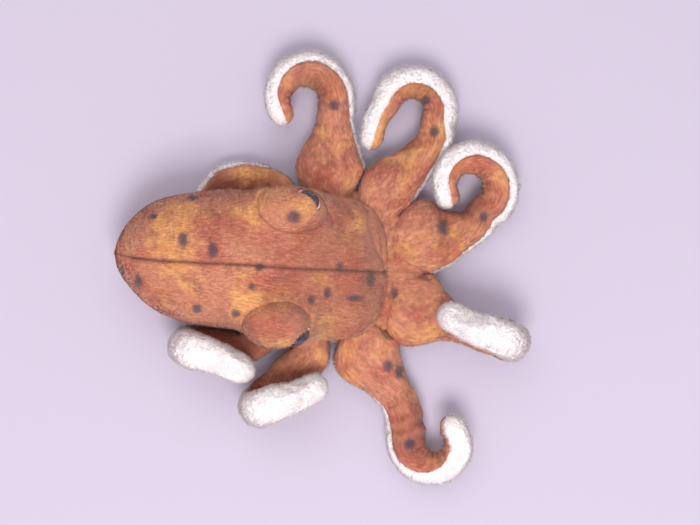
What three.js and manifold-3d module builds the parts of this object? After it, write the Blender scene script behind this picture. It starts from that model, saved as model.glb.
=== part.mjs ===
// A stuffed plush octopus that lies on its underside, with a pear-shaped mantle behind, two raised
// eye brows and eight arms that curl upwards or sideways. Units are millimetres, +Z is up, +X runs
// from the mantle's tip towards the arms and +Y is the toy's left. Each cloth panel is a thin shell,
// and the fibre stuffing inside it is a solid of its own, split where the toy bends.
import * as THREE from "three";
import Module from "manifold-3d";
import { mergeVertices } from "three/addons/utils/BufferGeometryUtils.js";

const wasm = await Module();
wasm.setup();

// Driving dimensions.
const CLOTH = 1.0; // thickness of the plush cloth without its pile
const GAP = 0.35; // clearance between neighbouring pieces
const HUB = { x: 8, y: 3, reach: 28, span: 38, height: 22 }; // the round base that the arms join
const ROOT_GAP = 2.6; // between the hub and an arm's root, where the arm bends
const WEB_RADIUS = 58; // distance from the hub's centre at which neighbouring arms part
const PLACED_WEB = 58; // the web radius that the arms' knees, arcs and ends below are given for
const ARM_HALF_WIDTH = 11.4; // seam to centre, past the web
const ARM_HALF_HEIGHT = 10.4; // back to centre, past the web
const ROOT_HALF_HEIGHT = 10.2; // back to centre, at the hub
const LOW_ROOT = 7.4; // the same, for the two arms that pass under the mantle
const UNDERSIDE = 2.1; // an arm's underside over the surface that the toy lies on, at its root
const KNUCKLE_ROUND = 4; // longest rounding of the stuffing where an arm's tip bends on its root
const TIP_HALF = 7.2; // half width and half height of an arm's tip
const BLUNT_HALF = 9; // the same, for the arms that fold back over themselves
const WAIST_RUN = 26; // how far past the web an arm narrows to its even width
const SIDES = 8; // facets round an arm
const BODY_SIDES = 20; // facets round the mantle and head
const NECK = 5; // body station at which the mantle bends on the head
const BELLY_END = 7; // body station under the head at which the belly panel meets the throat panel
const NECK_GAP = 2.4; // between the mantle's and the head's stuffing, at the neck's axis
const HEAD_FLOOR = 24; // the head's underside, over the arm roots
const LID_TILT = 0.34; // upward part of the direction in which an eye looks
const EYE = { radius: 7, dome: 4.6, rim: 0.8, rimRadius: 7.7, shank: 2, shankLength: 5.2, flat: 2.1 };
const WASHER = { radius: 5, thickness: 1.2, setBack: 2.2 };
const SEAM_LOW = -54; // degrees below the horizontal at which a side panel meets the belly panel

const Z = new THREE.Vector3(0, 0, 1);
const rad = THREE.MathUtils.degToRad;
const vector = (x, y, z) => new THREE.Vector3(x, y, z);
const heading = (degrees) => vector(Math.cos(rad(degrees)), Math.sin(rad(degrees)), 0);

const CLOTHS = {
  mottled: new THREE.MeshStandardMaterial({ color: 0xb8692f, roughness: 0.95 }),
  white: new THREE.MeshStandardMaterial({ color: 0xf2eeec, roughness: 0.95 }),
  fibre: new THREE.MeshStandardMaterial({ color: 0xe9e9e6, roughness: 1 }),
  eye: new THREE.MeshStandardMaterial({ color: 0x1c2230, roughness: 0.08 }),
  rim: new THREE.MeshStandardMaterial({ color: 0xe8dedb, roughness: 0.7 }),
  washer: new THREE.MeshStandardMaterial({ color: 0xdadada, roughness: 0.5 }),
};

// The body's outline, from the mantle's tip to the collar over the front arms: the left and right
// edges seen from above, the back's height and the underside's height.
const BODY = [
  { x: -123, left: 13, right: 6, top: 30, bottom: 22 },
  { x: -117, left: 27, right: -8, top: 43, bottom: 9 },
  { x: -102, left: 40, right: -22, top: 57, bottom: 1 },
  { x: -82, left: 46, right: -30.5, top: 65, bottom: 0 },
  { x: -60, left: 48.5, right: -34, top: 67, bottom: 0 },
  { x: -42, left: 48, right: -37, top: 65, bottom: 6 },
  { x: -25, left: 46, right: -39, top: 61, bottom: HEAD_FLOOR },
  { x: -6, left: 46, right: -42, top: 57, bottom: HEAD_FLOOR },
  { x: 12, left: 45, right: -42, top: 50, bottom: HEAD_FLOOR },
  { x: 27, left: 40, right: -38, top: 42, bottom: HEAD_FLOOR },
  { x: 36, left: 31, right: -29, top: 34.5, bottom: HEAD_FLOOR },
  { x: 39.5, left: 20, right: -18, top: 30, bottom: HEAD_FLOOR + 2.2 },
];
const LAST = BODY.length - 1;
const BODY_STEP = 0.5; // share of a station between neighbouring rings of facets

// Where each brow stands out of the head, as a body station, an angle round it and a depth under its
// cloth, with its half sizes and the way its eye looks.
const BROWS = [
  { side: "left", station: 6.34, turn: 34, depth: 6.6, half: [22, 16, 17], look: [0.45, 0.6, LID_TILT * 1.9] },
  { side: "right", station: 5.96, turn: 148, depth: 2.4, half: [20, 15, 17], look: [0.6, -0.72, LID_TILT * 0.75] },
];

// Each arm leaves the hub along its sector, follows its knees and then an arc. The arc lies flat at
// tilt 0 and stands upright at tilt 90, over the line through its centre along its heading, and
// drifts by the given shift. Roll turns the arm's back from facing up (0) to facing the arc's centre
// (90), from the first value at the arc's start to the second at its end. The knuckle is the number
// of arc steps after which the arm's tip bends on its root.
const ARMS = [
  {
    name: "arm_1", sector: 131, web: 14, end: 6, low: true, knees: [[-43, 52.5, 11.5]], ends: [],
    arc: { centre: [-57, 35, 10.5], radii: [18, 18], from: 96, sweep: 46, drift: [0, 0, -2.5], steps: 4 },
    roll: [25, 50], knuckle: 1, moves: "swing", bend: [0, 6], curl: [0, 30],
  },
  {
    name: "arm_2", sector: 93, web: 19.5, end: TIP_HALF, knees: [[6.5, 72, 11.5], [8.5, 90, 12.3]], ends: [],
    arc: { centre: [-8.7, 103.6, 12.7], radii: [17.8, 17], from: -5, sweep: 214, drift: [0, 0, 5], steps: 8 },
    roll: [50, 92], knuckle: 4, moves: "lift", bend: [0, 35], curl: [0, 40],
  },
  {
    name: "arm_3", sector: 55, web: 15.5, end: TIP_HALF, knees: [[55, 62.5, 11.5], [68, 77.5, 12.6]],
    ends: [[34, 92, 14.6], [30.8, 80.5, 14.6]],
    arc: { centre: [55.2, 96.5, 12.7], radii: [17, 17], from: -22, sweep: 172, drift: [0, 0, 1.6], steps: 6 },
    roll: [66, 95], knuckle: 4, moves: "lift", bend: [0, 22], curl: [0, 30],
  },
  {
    name: "arm_4", sector: 17, web: 20, end: TIP_HALF, knees: [[74, 20, 11], [91, 26, 12.2]], ends: [],
    arc: { centre: [90.4, 50, 12.7], radii: [18, 15], from: -62, sweep: 262, drift: [0, 0, 14], steps: 9 },
    roll: [58, 96], knuckle: 5, moves: "lift", bend: [0, 35], curl: [0, 12],
  },
  {
    name: "arm_5", sector: -28.5, web: 20, end: BLUNT_HALF, knees: [[82, -33, 11.7]],
    ends: [[90.5, -34.2, 39.5], [79, -28, 34.5]],
    arc: { centre: [101, -39.2, 26.4], radii: [14.5, 14.5], from: -90, sweep: 180, drift: [0, 1.5, 0], steps: 6,
      heading: -20, tilt: 90 },
    knuckle: 3, moves: "lift", bend: [0, 35], curl: [0, 40],
  },
  {
    name: "arm_6", sector: -70, web: 19.5, end: 8, knees: [[38, -66, 11.5], [47.5, -80, 12], [51.5, -95, 12.4]],
    ends: [],
    arc: { centre: [67.2, -104.5, 13.2], radii: [15.4, 15], from: 192, sweep: 205, drift: [0, 0, 9], steps: 8 },
    roll: [35, 132], knuckle: 4, moves: "lift", bend: [0, 35], curl: [0, 35],
  },
  {
    name: "arm_7", sector: -105.5, web: 13.5, end: BLUNT_HALF, knees: [[-19, -63, 11.7]],
    ends: [[-15.5, -75.5, 39], [-5, -70.5, 34.5]],
    arc: { centre: [-26.5, -71, 26.4], radii: [14.5, 14.5], from: -90, sweep: 180, drift: [0.5, -7.5, 0], steps: 6,
      heading: 212, tilt: 90 },
    knuckle: 3, moves: "lift", bend: [0, 25], curl: [0, 40],
  },
  {
    name: "arm_8", sector: 227, web: 10, end: BLUNT_HALF, low: true, knees: [[-48, -47, 11.7]],
    ends: [[-59.5, -53.2, 39], [-48.5, -58.5, 34.5]],
    arc: { centre: [-66.2, -46.4, 26.4], radii: [14.5, 14.5], from: -90, sweep: 180, drift: [-1, -4, 0], steps: 6,
      heading: 168, tilt: 90 },
    knuckle: 3, moves: "swing", bend: [-4, 4], curl: [0, 40],
  },
];

// A closed mesh from points and triangles, turned so that its faces point outwards.
function closedMesh(points, triangles) {
  const volume = triangles.reduce(
    (sum, [a, b, c]) => sum + points[a].dot(points[b].clone().cross(points[c])),
    0,
  );
  const facing = volume < 0 ? triangles.map(([a, b, c]) => [a, c, b]) : triangles;
  const geometry = new THREE.BufferGeometry().setFromPoints(points);
  geometry.setIndex(facing.flat());
  return geometry;
}

// A solid through closed rings of equal count, with a fan over each end.
function lofted(rings) {
  const count = rings[0].length;
  const points = rings.flat();
  const triangles = [];
  for (let i = 0; i + 1 < rings.length; i++) {
    for (let j = 0; j < count; j++) {
      const [a, b] = [i * count + j, i * count + ((j + 1) % count)];
      triangles.push([a, b, b + count], [a, b + count, a + count]);
    }
  }
  [0, rings.length - 1].forEach((end) => {
    const middle = rings[end].reduce((sum, p) => sum.add(p), vector(0, 0, 0)).divideScalar(count);
    const apex = points.push(middle) - 1;
    for (let j = 0; j < count; j++) {
      const pair = [end * count + j, end * count + ((j + 1) % count)];
      triangles.push(end ? [pair[0], pair[1], apex] : [pair[1], pair[0], apex]);
    }
  });
  return closedMesh(points, triangles);
}

// A thin shell between two grids of points of equal size.
function shell(outer, inner) {
  const [rows, columns] = [outer.length, outer[0].length];
  const points = [...outer.flat(), ...inner.flat()];
  const back = rows * columns;
  const triangles = [];
  const quad = (a, b, c, d) => triangles.push([a, b, c], [a, c, d]);
  for (let i = 0; i + 1 < rows; i++) {
    for (let j = 0; j + 1 < columns; j++) {
      const a = i * columns + j;
      quad(a, a + 1, a + columns + 1, a + columns);
      quad(back + a, back + a + columns, back + a + columns + 1, back + a + 1);
    }
  }
  for (let j = 0; j + 1 < columns; j++) {
    const last = (rows - 1) * columns + j;
    quad(j + 1, j, back + j, back + j + 1);
    quad(last, last + 1, back + last + 1, back + last);
  }
  for (let i = 0; i + 1 < rows; i++) {
    const [first, last] = [i * columns, i * columns + columns - 1];
    quad(first, first + columns, back + first + columns, back + first);
    quad(last + columns, last, back + last, back + last + columns);
  }
  return closedMesh(points, triangles);
}

// A smooth value at a fractional station, by a Catmull-Rom spline on each of their fields.
function between(stations, key, at) {
  const last = stations.length - 1;
  const i = Math.min(Math.floor(at), last - 1);
  const [p, q, r, s] = [i - 1, i, i + 1, i + 2].map(
    (n) => stations[THREE.MathUtils.clamp(n, 0, last)][key],
  );
  const f = at - i;
  const [m, n] = [(r - p) / 2, (s - q) / 2];
  return (
    q * (2 * f ** 3 - 3 * f ** 2 + 1) + m * (f ** 3 - 2 * f ** 2 + f) +
    r * (3 * f ** 2 - 2 * f ** 3) + n * (f ** 3 - f ** 2)
  );
}

// A point of the body's surface, set in from the cloth's outside. The underside is pressed flat.
function bodyPoint(t, degrees, inset) {
  const [left, right] = [between(BODY, "left", t) - inset, between(BODY, "right", t) + inset];
  const [top, bottom] = [between(BODY, "top", t) - inset, Math.max(between(BODY, "bottom", t), 0) + inset];
  const middle = bottom + (top - bottom) * 0.47;
  const [c, s] = [Math.cos(rad(degrees)), Math.sin(rad(degrees))];
  const rise = s > 0 ? (top - middle) * s : Math.max(s * 1.12, -1) * (middle - bottom);
  return vector(
    between(BODY, "x", t) + inset * (Math.max(0, 1 - t * 0.6) - Math.max(0, t - LAST + 1)),
    (left + right) / 2 + Math.max(left - right, 0.4) * 0.5 * c,
    middle + rise,
  );
}

const bodyRows = (from, to) =>
  Array.from({ length: Math.round((to - from) / BODY_STEP) + 1 }, (_, i) => from + i * BODY_STEP);

// A ring round the body's stuffing, shrunk towards its own middle where an end is rounded.
function bodyRing(t, inset, shrink = 1, shift = 0) {
  const ring = Array.from({ length: BODY_SIDES }, (_, j) =>
    bodyPoint(t, (360 / BODY_SIDES) * j, inset),
  );
  const middle = ring.reduce((sum, p) => sum.add(p), vector(0, 0, 0)).divideScalar(BODY_SIDES);
  return ring.map((p) => middle.clone().lerp(p, shrink).add(vector(shift, 0, 0)));
}

function bodyPanel(fromDegrees, toDegrees, from, to) {
  const steps = Math.round(Math.abs(toDegrees - fromDegrees) / (360 / BODY_SIDES));
  const edge = 0.45 * Math.sign(toDegrees - fromDegrees); // leaves a seam's gap in degrees
  const grid = (inset) =>
    bodyRows(from, to).map((t) =>
      Array.from({ length: steps + 1 }, (_, j) => {
        const trim = j === 0 ? edge : j === steps ? -edge : 0;
        return bodyPoint(t, fromDegrees + ((toDegrees - fromDegrees) * j) / steps + trim, inset);
      }),
    );
  return shell(grid(0), grid(CLOTH));
}

// Rings that round off an end over a length, from the full ring outwards.
const ROUNDING = [35, 60, 80].map(rad);

function bodyStuffing(from, to, roundStart, roundEnd) {
  const inset = CLOTH + GAP;
  const rings = bodyRows(from, to).map((t) => bodyRing(t, inset));
  const start = ROUNDING.map((a) => bodyRing(from, inset, Math.cos(a), -roundStart * Math.sin(a)));
  const end = ROUNDING.map((a) => bodyRing(to, inset, Math.cos(a), roundEnd * Math.sin(a)));
  return lofted([...(roundStart ? start.reverse() : []), ...rings, ...(roundEnd ? end : [])]);
}

// The hub's edge along a direction from its centre.
const hubRadius = (degrees) =>
  1 / Math.hypot(Math.cos(rad(degrees)) / HUB.reach, Math.sin(rad(degrees)) / HUB.span);

function hubDisc(inset, low, high) {
  const ring = (z, shrink) =>
    Array.from({ length: 24 }, (_, j) => {
      const d = heading(j * 15).multiplyScalar((hubRadius(j * 15) - inset) * shrink);
      return vector(HUB.x, HUB.y, z).add(d);
    });
  return lofted([ring(low, 1), ring(high - (high - low) * 0.3, 1), ring(high, 0.9)]);
}

// The cloth round the crown, which shows between the arms: a band that closes on itself.
function crownWall(low, high) {
  const sections = Array.from({ length: 24 }, (_, j) =>
    [[0, low], [0, high], [CLOTH, high], [CLOTH, low]].map(([inset, z]) =>
      heading(j * 15).multiplyScalar(hubRadius(j * 15) - inset).add(vector(HUB.x, HUB.y, z))));
  const triangles = [];
  sections.forEach((_, i) => {
    const next = ((i + 1) % sections.length) * 4;
    for (let j = 0; j < 4; j++) {
      const [a, b, c, d] = [i * 4 + j, next + j, next + ((j + 1) % 4), i * 4 + ((j + 1) % 4)];
      triangles.push([a, b, c], [a, c, d]);
    }
  });
  return closedMesh(sections.flat(), triangles);
}

const rootHeight = (arm) => (arm.low ? LOW_ROOT : ROOT_HALF_HEIGHT);

// An arm's stations from its root to its tip: place, the way its back faces, and arc length.
function armStations(arm) {
  const { arc } = arm;
  const out = heading(arm.sector);
  const radial = (r, z) => vector(HUB.x, HUB.y, z).addScaledVector(out, r);
  const placed = (p) => vector(...p).addScaledVector(out, WEB_RADIUS - PLACED_WEB);
  const start = hubRadius(arm.sector) + ROOT_GAP;
  const along = heading(arc.heading ?? 0);
  const across = Z.clone().cross(along).multiplyScalar(Math.cos(rad(arc.tilt ?? 0)))
    .addScaledVector(Z, Math.sin(rad(arc.tilt ?? 0)));
  const stations = [
    { p: radial(start, rootHeight(arm) + UNDERSIDE), turn: 0 },
    { p: radial((start + WEB_RADIUS) / 2, rootHeight(arm) + UNDERSIDE), turn: 0 },
    { p: radial(WEB_RADIUS, rootHeight(arm) + UNDERSIDE + 0.2), turn: 0.06 },
    ...arm.knees.map((p, i) => ({ p: placed(p), turn: (0.85 * (i + 1)) / (arm.knees.length + 0.6) })),
  ];
  const firstArc = stations.length;
  for (let i = 0; i <= arc.steps; i++) {
    const f = i / arc.steps;
    const angle = rad(arc.from + arc.sweep * f);
    const radius = THREE.MathUtils.lerp(arc.radii[0], arc.radii[1], f ** 3);
    const inward = along.clone().multiplyScalar(-Math.cos(angle)).addScaledVector(across, -Math.sin(angle));
    const p = placed(arc.centre).addScaledVector(inward, -radius)
      .addScaledVector(vector(...arc.drift), f);
    stations.push({ p, turn: 1, inward, f });
  }
  const last = stations[stations.length - 1];
  arm.ends.forEach((p) => stations.push({ p: placed(p), turn: 1, inward: last.inward, f: 1 }));
  const first = stations[firstArc];
  stations.forEach((station) => {
    station.inward ??= first.inward;
    const roll = arc.tilt ? null : THREE.MathUtils.lerp(arm.roll[0], arm.roll[1], station.f ?? 0) * station.turn;
    station.back = arc.tilt
      ? (station.turn < 1 ? Z.clone() : station.inward.clone())
      : Z.clone().multiplyScalar(Math.cos(rad(roll))).addScaledVector(station.inward, Math.sin(rad(roll)));
  });
  return frame(arm, stations, firstArc + arm.knuckle);
}

// Adds each station's travel direction, square axes, arc length and half sizes.
function frame(arm, stations, knuckle) {
  const lengths = stations.map((s, i) => (i ? s.p.distanceTo(stations[i - 1].p) : 0));
  let run = 0;
  stations.forEach((s, i) => {
    run += lengths[i];
    s.run = run;
    const ahead = stations[Math.min(i + 1, stations.length - 1)].p;
    s.along = ahead.clone().sub(stations[Math.max(i - 1, 0)].p).normalize();
    s.across = s.along.clone().cross(s.back).normalize();
    s.back = s.across.clone().cross(s.along).normalize();
  });
  const web = stations[2].run;
  const others = ARMS.filter((other) => other !== arm).map((other) =>
    Math.abs(THREE.MathUtils.euclideanModulo(other.sector - arm.sector + 180, 360) - 180));
  const slope = Math.tan(rad(Math.min(...others) / 2)) * 0.93; // keeps a root inside its sector
  stations.forEach((s) => {
    const widen = Math.min(s.run / web, 1);
    const waist = THREE.MathUtils.smoothstep(s.run, web, web + WAIST_RUN);
    const taper = THREE.MathUtils.smoothstep(s.run, run * 0.72, run);
    const even = THREE.MathUtils.lerp(ARM_HALF_WIDTH, arm.end, taper);
    const root = THREE.MathUtils.lerp(Math.min(arm.web, hubRadius(arm.sector) * slope), arm.web, widen);
    s.w = THREE.MathUtils.lerp(root, even, waist);
    s.h = THREE.MathUtils.lerp(
      rootHeight(arm),
      THREE.MathUtils.lerp(ARM_HALF_HEIGHT, arm.end, taper),
      THREE.MathUtils.smoothstep(s.run, web * 0.4, web + WAIST_RUN),
    );
  });
  return { stations, knuckle, run };
}

// A point of an arm's surface: 0 degrees is one seam, 90 the back and 180 the other seam.
function armPoint(s, degrees, inset, shrink = 1, shift = 0) {
  const [c, d] = [Math.cos(rad(degrees)), Math.sin(rad(degrees))];
  return s.p.clone()
    .addScaledVector(s.across, (s.w - inset) * c * shrink)
    .addScaledVector(s.back, (s.h - inset) * d * shrink)
    .addScaledVector(s.along, shift);
}

const armRing = (s, inset, shrink, shift) =>
  Array.from({ length: SIDES }, (_, j) => armPoint(s, (360 / SIDES) * j, inset, shrink, shift));

function armPanel({ stations }, fromDegrees) {
  const last = stations[stations.length - 1];
  const half = SIDES / 2;
  const row = (s, inset, shrink, shift) =>
    Array.from({ length: half + 1 }, (_, j) => {
      const trim = (j === 0 ? 1 : j === half ? -1 : 0) * THREE.MathUtils.radToDeg(GAP / s.w);
      return armPoint(s, fromDegrees + (180 / half) * j + trim, inset, shrink, shift);
    });
  const grid = (inset) => [
    ...stations.map((s) => row(s, inset, 1, 0)),
    ...ROUNDING.map((a) => row(last, inset, Math.cos(a), (last.w - inset) * Math.sin(a))),
  ];
  return shell(grid(0), grid(CLOTH));
}

function armStuffing({ stations, knuckle }, tip) {
  const inset = CLOTH + GAP;
  const chosen = tip ? stations.slice(knuckle + 1) : stations.slice(0, knuckle);
  const [first, last] = [chosen[0], chosen[chosen.length - 1]];
  const room = (s) => Math.min(s.p.distanceTo(stations[knuckle].p) - 1.4, KNUCKLE_ROUND);
  const cap = (s, length) =>
    ROUNDING.map((a) => armRing(s, inset, Math.cos(a), length * Math.sin(a)));
  const body = chosen.map((s) => armRing(s, inset, 1, 0));
  return tip
    ? lofted([...cap(first, -room(first)).reverse(), ...body, ...cap(last, last.w - inset)])
    : lofted([...body, ...cap(last, room(last))]);
}

// A geometry as a solid that manifold-3d can cut, and back.
function solidOf(geometry) {
  const bare = new THREE.BufferGeometry().setAttribute("position", geometry.getAttribute("position"));
  if (geometry.index) bare.setIndex(geometry.index);
  const merged = mergeVertices(bare, 1e-4);
  return new wasm.Manifold(
    new wasm.Mesh({
      numProp: 3,
      vertProperties: new Float32Array(merged.getAttribute("position").array),
      triVerts: new Uint32Array(merged.index.array),
    }),
  );
}

function geometryOf(solid) {
  const mesh = solid.getMesh();
  const geometry = new THREE.BufferGeometry();
  geometry.setAttribute("position", new THREE.BufferAttribute(mesh.vertProperties, 3));
  return geometry.setIndex(new THREE.BufferAttribute(mesh.triVerts, 1));
}

// A turned solid whose axis points along a direction from a point; the profile is [radius, height].
function turned(profile, segments, at, direction) {
  const geometry = new THREE.LatheGeometry(profile.map(([r, z]) => new THREE.Vector2(r, z)), segments);
  const turn = new THREE.Quaternion().setFromUnitVectors(vector(0, 1, 0), direction);
  return geometry.applyQuaternion(turn).translate(at.x, at.y, at.z);
}

const browCentre = (brow) => bodyPoint(brow.station, brow.turn, brow.depth);

// A brow's rounded form, cut flat where the eye sits.
function browForm(brow, inset) {
  const look = vector(...brow.look).normalize();
  const [a, b, c] = brow.half.map((n) => n - inset);
  const form = new THREE.SphereGeometry(1, 14, 8).rotateX(Math.PI / 2).scale(a, b, c)
    .translate(...browCentre(brow).toArray());
  const far = eyeSeat(brow).dot(look) - inset;
  const slab = new THREE.BoxGeometry(200, 200, 200);
  slab.applyQuaternion(new THREE.Quaternion().setFromUnitVectors(vector(1, 0, 0), look));
  const middle = browCentre(brow);
  slab.translate(...middle.addScaledVector(look, far - 100 - middle.dot(look)).toArray());
  return solidOf(form).intersect(solidOf(slab));
}

// The middle of the flat that an eye sits on: the brow's furthest point that way, less the flat.
function eyeSeat(brow) {
  const look = vector(...brow.look).normalize();
  const half = vector(...brow.half);
  const reach = half.clone().multiply(look).length();
  const onSurface = half.clone().multiply(half).multiply(look).divideScalar(reach);
  return browCentre(brow).add(onSurface).addScaledVector(look, -EYE.flat);
}

function browPieces(brow, bodyForm) {
  const look = vector(...brow.look).normalize();
  const seat = eyeSeat(brow);
  const from = (distance) => seat.clone().addScaledVector(look, distance);
  const rod = (radius, low, high) =>
    solidOf(turned([[0, low], [radius, low], [radius, high], [0, high]], 16, seat, look));
  const cloth = browForm(brow, 0).subtract(browForm(brow, CLOTH)).subtract(bodyForm)
    .subtract(rod(EYE.shank + GAP, -20, 20));
  const back = -CLOTH - GAP;
  const washerTop = -CLOTH - GAP;
  const fibre = browForm(brow, CLOTH + GAP).subtract(bodyForm)
    .subtract(rod(EYE.shank + GAP, -20, 20))
    .subtract(rod(WASHER.radius + GAP, back - WASHER.setBack, 20));
  const dome = Array.from({ length: 6 }, (_, i) => [
    EYE.radius * Math.cos(rad(i * 18)), EYE.rim + GAP + 0.6 + EYE.dome * Math.sin(rad(i * 18)),
  ]);
  const eye = turned(
    [[0, -EYE.shankLength], [EYE.shank, -EYE.shankLength], [EYE.shank, EYE.rim + GAP],
      [EYE.radius, EYE.rim + GAP], ...dome.slice(0, 5), [0, EYE.rim + GAP + 0.6 + EYE.dome]],
    20, from(GAP), look,
  );
  const ring = (inner, outer, low, high) =>
    turned([[inner, low], [outer, low], [outer, high], [inner, high], [inner, low]], 20, from(0), look);
  return {
    [`${brow.side}_brow_panel`]: [geometryOf(largest(cloth)), CLOTHS.mottled],
    [`${brow.side}_brow_stuffing`]: [geometryOf(largest(fibre)), CLOTHS.fibre],
    [`${brow.side}_eye`]: [eye, CLOTHS.eye],
    [`${brow.side}_eye_rim`]: [ring(EYE.shank + GAP, EYE.rimRadius, GAP, GAP + EYE.rim), CLOTHS.rim],
    [`${brow.side}_eye_washer`]: [
      ring(EYE.shank + 0.2, WASHER.radius, washerTop - WASHER.thickness, washerTop), CLOTHS.washer,
    ],
  };
}

// The biggest piece of a cut solid.
const largest = (solid) => solid.decompose().sort((a, b) => b.volume() - a.volume())[0];

function bodyPieces() {
  const neck = NECK;
  const round = 11 - NECK_GAP / 2;
  return {
    mantle_left_panel: [bodyPanel(90, SEAM_LOW, 0, LAST), CLOTHS.mottled],
    mantle_right_panel: [bodyPanel(90, 180 - SEAM_LOW, 0, LAST), CLOTHS.mottled],
    belly_panel: [bodyPanel(-180 - SEAM_LOW, SEAM_LOW, 0, BELLY_END - 0.5 * BODY_STEP), CLOTHS.mottled],
    throat_panel: [bodyPanel(-180 - SEAM_LOW, SEAM_LOW, BELLY_END, LAST), CLOTHS.mottled],
    mantle_stuffing: [bodyStuffing(BODY_STEP, neck - 2 * BODY_STEP, 0, round), CLOTHS.fibre],
    head_stuffing: [bodyStuffing(neck + 2 * BODY_STEP, LAST, round, 0), CLOTHS.fibre],
    crown_under_panel: [hubDisc(0, 0, CLOTH), CLOTHS.white],
    crown_wall_panel: [crownWall(CLOTH + GAP, HUB.height - CLOTH), CLOTHS.mottled],
    crown_stuffing: [hubDisc(CLOTH + GAP, CLOTH + GAP, HUB.height), CLOTHS.fibre],
  };
}

function armPieces(arm) {
  const built = armStations(arm);
  return {
    [`${arm.name}_back_panel`]: [armPanel(built, 0), CLOTHS.mottled],
    [`${arm.name}_under_panel`]: [armPanel(built, 180), CLOTHS.white],
    [`${arm.name}_root_stuffing`]: [armStuffing(built, false), CLOTHS.fibre],
    [`${arm.name}_tip_stuffing`]: [armStuffing(built, true), CLOTHS.fibre],
  };
}

// Where an arm bends: at its root, and at its knuckle about the axis that opens its curl.
function armJoints(arm) {
  const { stations, knuckle } = armStations(arm);
  const out = heading(arm.sector);
  const root = stations[0];
  const lift = arm.moves === "lift";
  const side = arm.name === "arm_1" ? -1 : 1;
  const k = stations[knuckle];
  const raise = arm.name === "arm_3" || arm.name === "arm_4";
  const open = k.inward.clone().cross(k.along).normalize();
  return [
    {
      name: `${arm.name}_${arm.moves}`, parent: "head", child: `${arm.name}_root`,
      at: lift ? root.p.clone().addScaledVector(Z, root.h) : root.p.clone(),
      axis: lift ? out.clone().cross(Z) : Z.clone().multiplyScalar(side), range: arm.bend,
    },
    {
      name: `${arm.name}_curl`, parent: `${arm.name}_root`, child: `${arm.name}_tip`,
      at: k.p.clone(), axis: raise ? k.along.clone().cross(Z).normalize() : open, range: arm.curl,
    },
  ];
}

const bodySurface = solidOf(lofted(bodyRows(0, LAST).map((t) => bodyRing(t, -2 * GAP))));
const pieces = Object.assign(
  bodyPieces(),
  ...BROWS.map((brow) => browPieces(brow, bodySurface)),
  ...ARMS.map(armPieces),
);

const octopus = new THREE.Group();
for (const [name, [geometry, material]] of Object.entries(pieces)) {
  const mesh = new THREE.Mesh(geometry, material);
  mesh.name = name;
  octopus.add(mesh);
}

// The origin is the middle of the toy's footprint, on the surface that it lies on.
const box = new THREE.Box3().setFromObject(octopus);
const middle = box.getCenter(vector(0, 0, 0));
octopus.position.set(-middle.x, -middle.y, -box.min.z);
octopus.userData.joints = [
  {
    name: "mantle_lift", parent: "head", child: "mantle",
    at: bodyPoint(NECK, 0, 0).setY((between(BODY, "left", NECK) + between(BODY, "right", NECK)) / 2),
    axis: vector(0, 1, 0), range: [0, 16],
  },
  ...ARMS.flatMap(armJoints),
].map((joint) => ({ ...joint, at: joint.at.clone().add(octopus.position) }));

export default octopus;
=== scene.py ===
"""Looks of a stuffed plush octopus that lies on its underside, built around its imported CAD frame."""

import logging
import math
from dataclasses import dataclass, field
from enum import Enum

import bpy
import numpy as np
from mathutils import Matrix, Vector


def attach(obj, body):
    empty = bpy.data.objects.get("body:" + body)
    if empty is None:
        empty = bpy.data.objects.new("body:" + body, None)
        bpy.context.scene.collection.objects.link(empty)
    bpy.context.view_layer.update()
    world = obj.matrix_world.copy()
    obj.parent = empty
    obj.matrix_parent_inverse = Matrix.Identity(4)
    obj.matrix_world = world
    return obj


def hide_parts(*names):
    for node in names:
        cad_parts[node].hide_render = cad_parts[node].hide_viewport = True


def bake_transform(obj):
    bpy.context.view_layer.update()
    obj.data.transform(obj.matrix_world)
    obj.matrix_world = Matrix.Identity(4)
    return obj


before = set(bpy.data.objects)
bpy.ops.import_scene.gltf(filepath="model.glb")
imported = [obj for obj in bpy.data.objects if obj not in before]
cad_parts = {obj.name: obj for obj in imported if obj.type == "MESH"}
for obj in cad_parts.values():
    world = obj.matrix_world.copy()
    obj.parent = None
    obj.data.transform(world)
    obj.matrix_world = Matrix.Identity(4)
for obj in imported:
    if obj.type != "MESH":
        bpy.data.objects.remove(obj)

LOG = logging.getLogger("octopus")
Socket = bpy.types.NodeSocket
Piece = bpy.types.Object
MM = 0.001
UP = np.array([0.0, 0.0, 1.0])
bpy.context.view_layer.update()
FLOOR_GAP = 0.2 * MM  # the pile's lowest points over the floor
CLOTH = 0.9 * MM  # the cloth's thickness without its pile
ROOT_DEPTH = 0.3 * MM  # how deep the fibres stand in the cloth
GROUND = 1.6 * MM  # the height under which an arm's cloth is pressed flat
EYE_RADIUS, EYE_DOME = 7.0 * MM, 4.6 * MM
RIM_RADIUS, RIM_HALF = 6.95 * MM, 0.75 * MM

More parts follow.
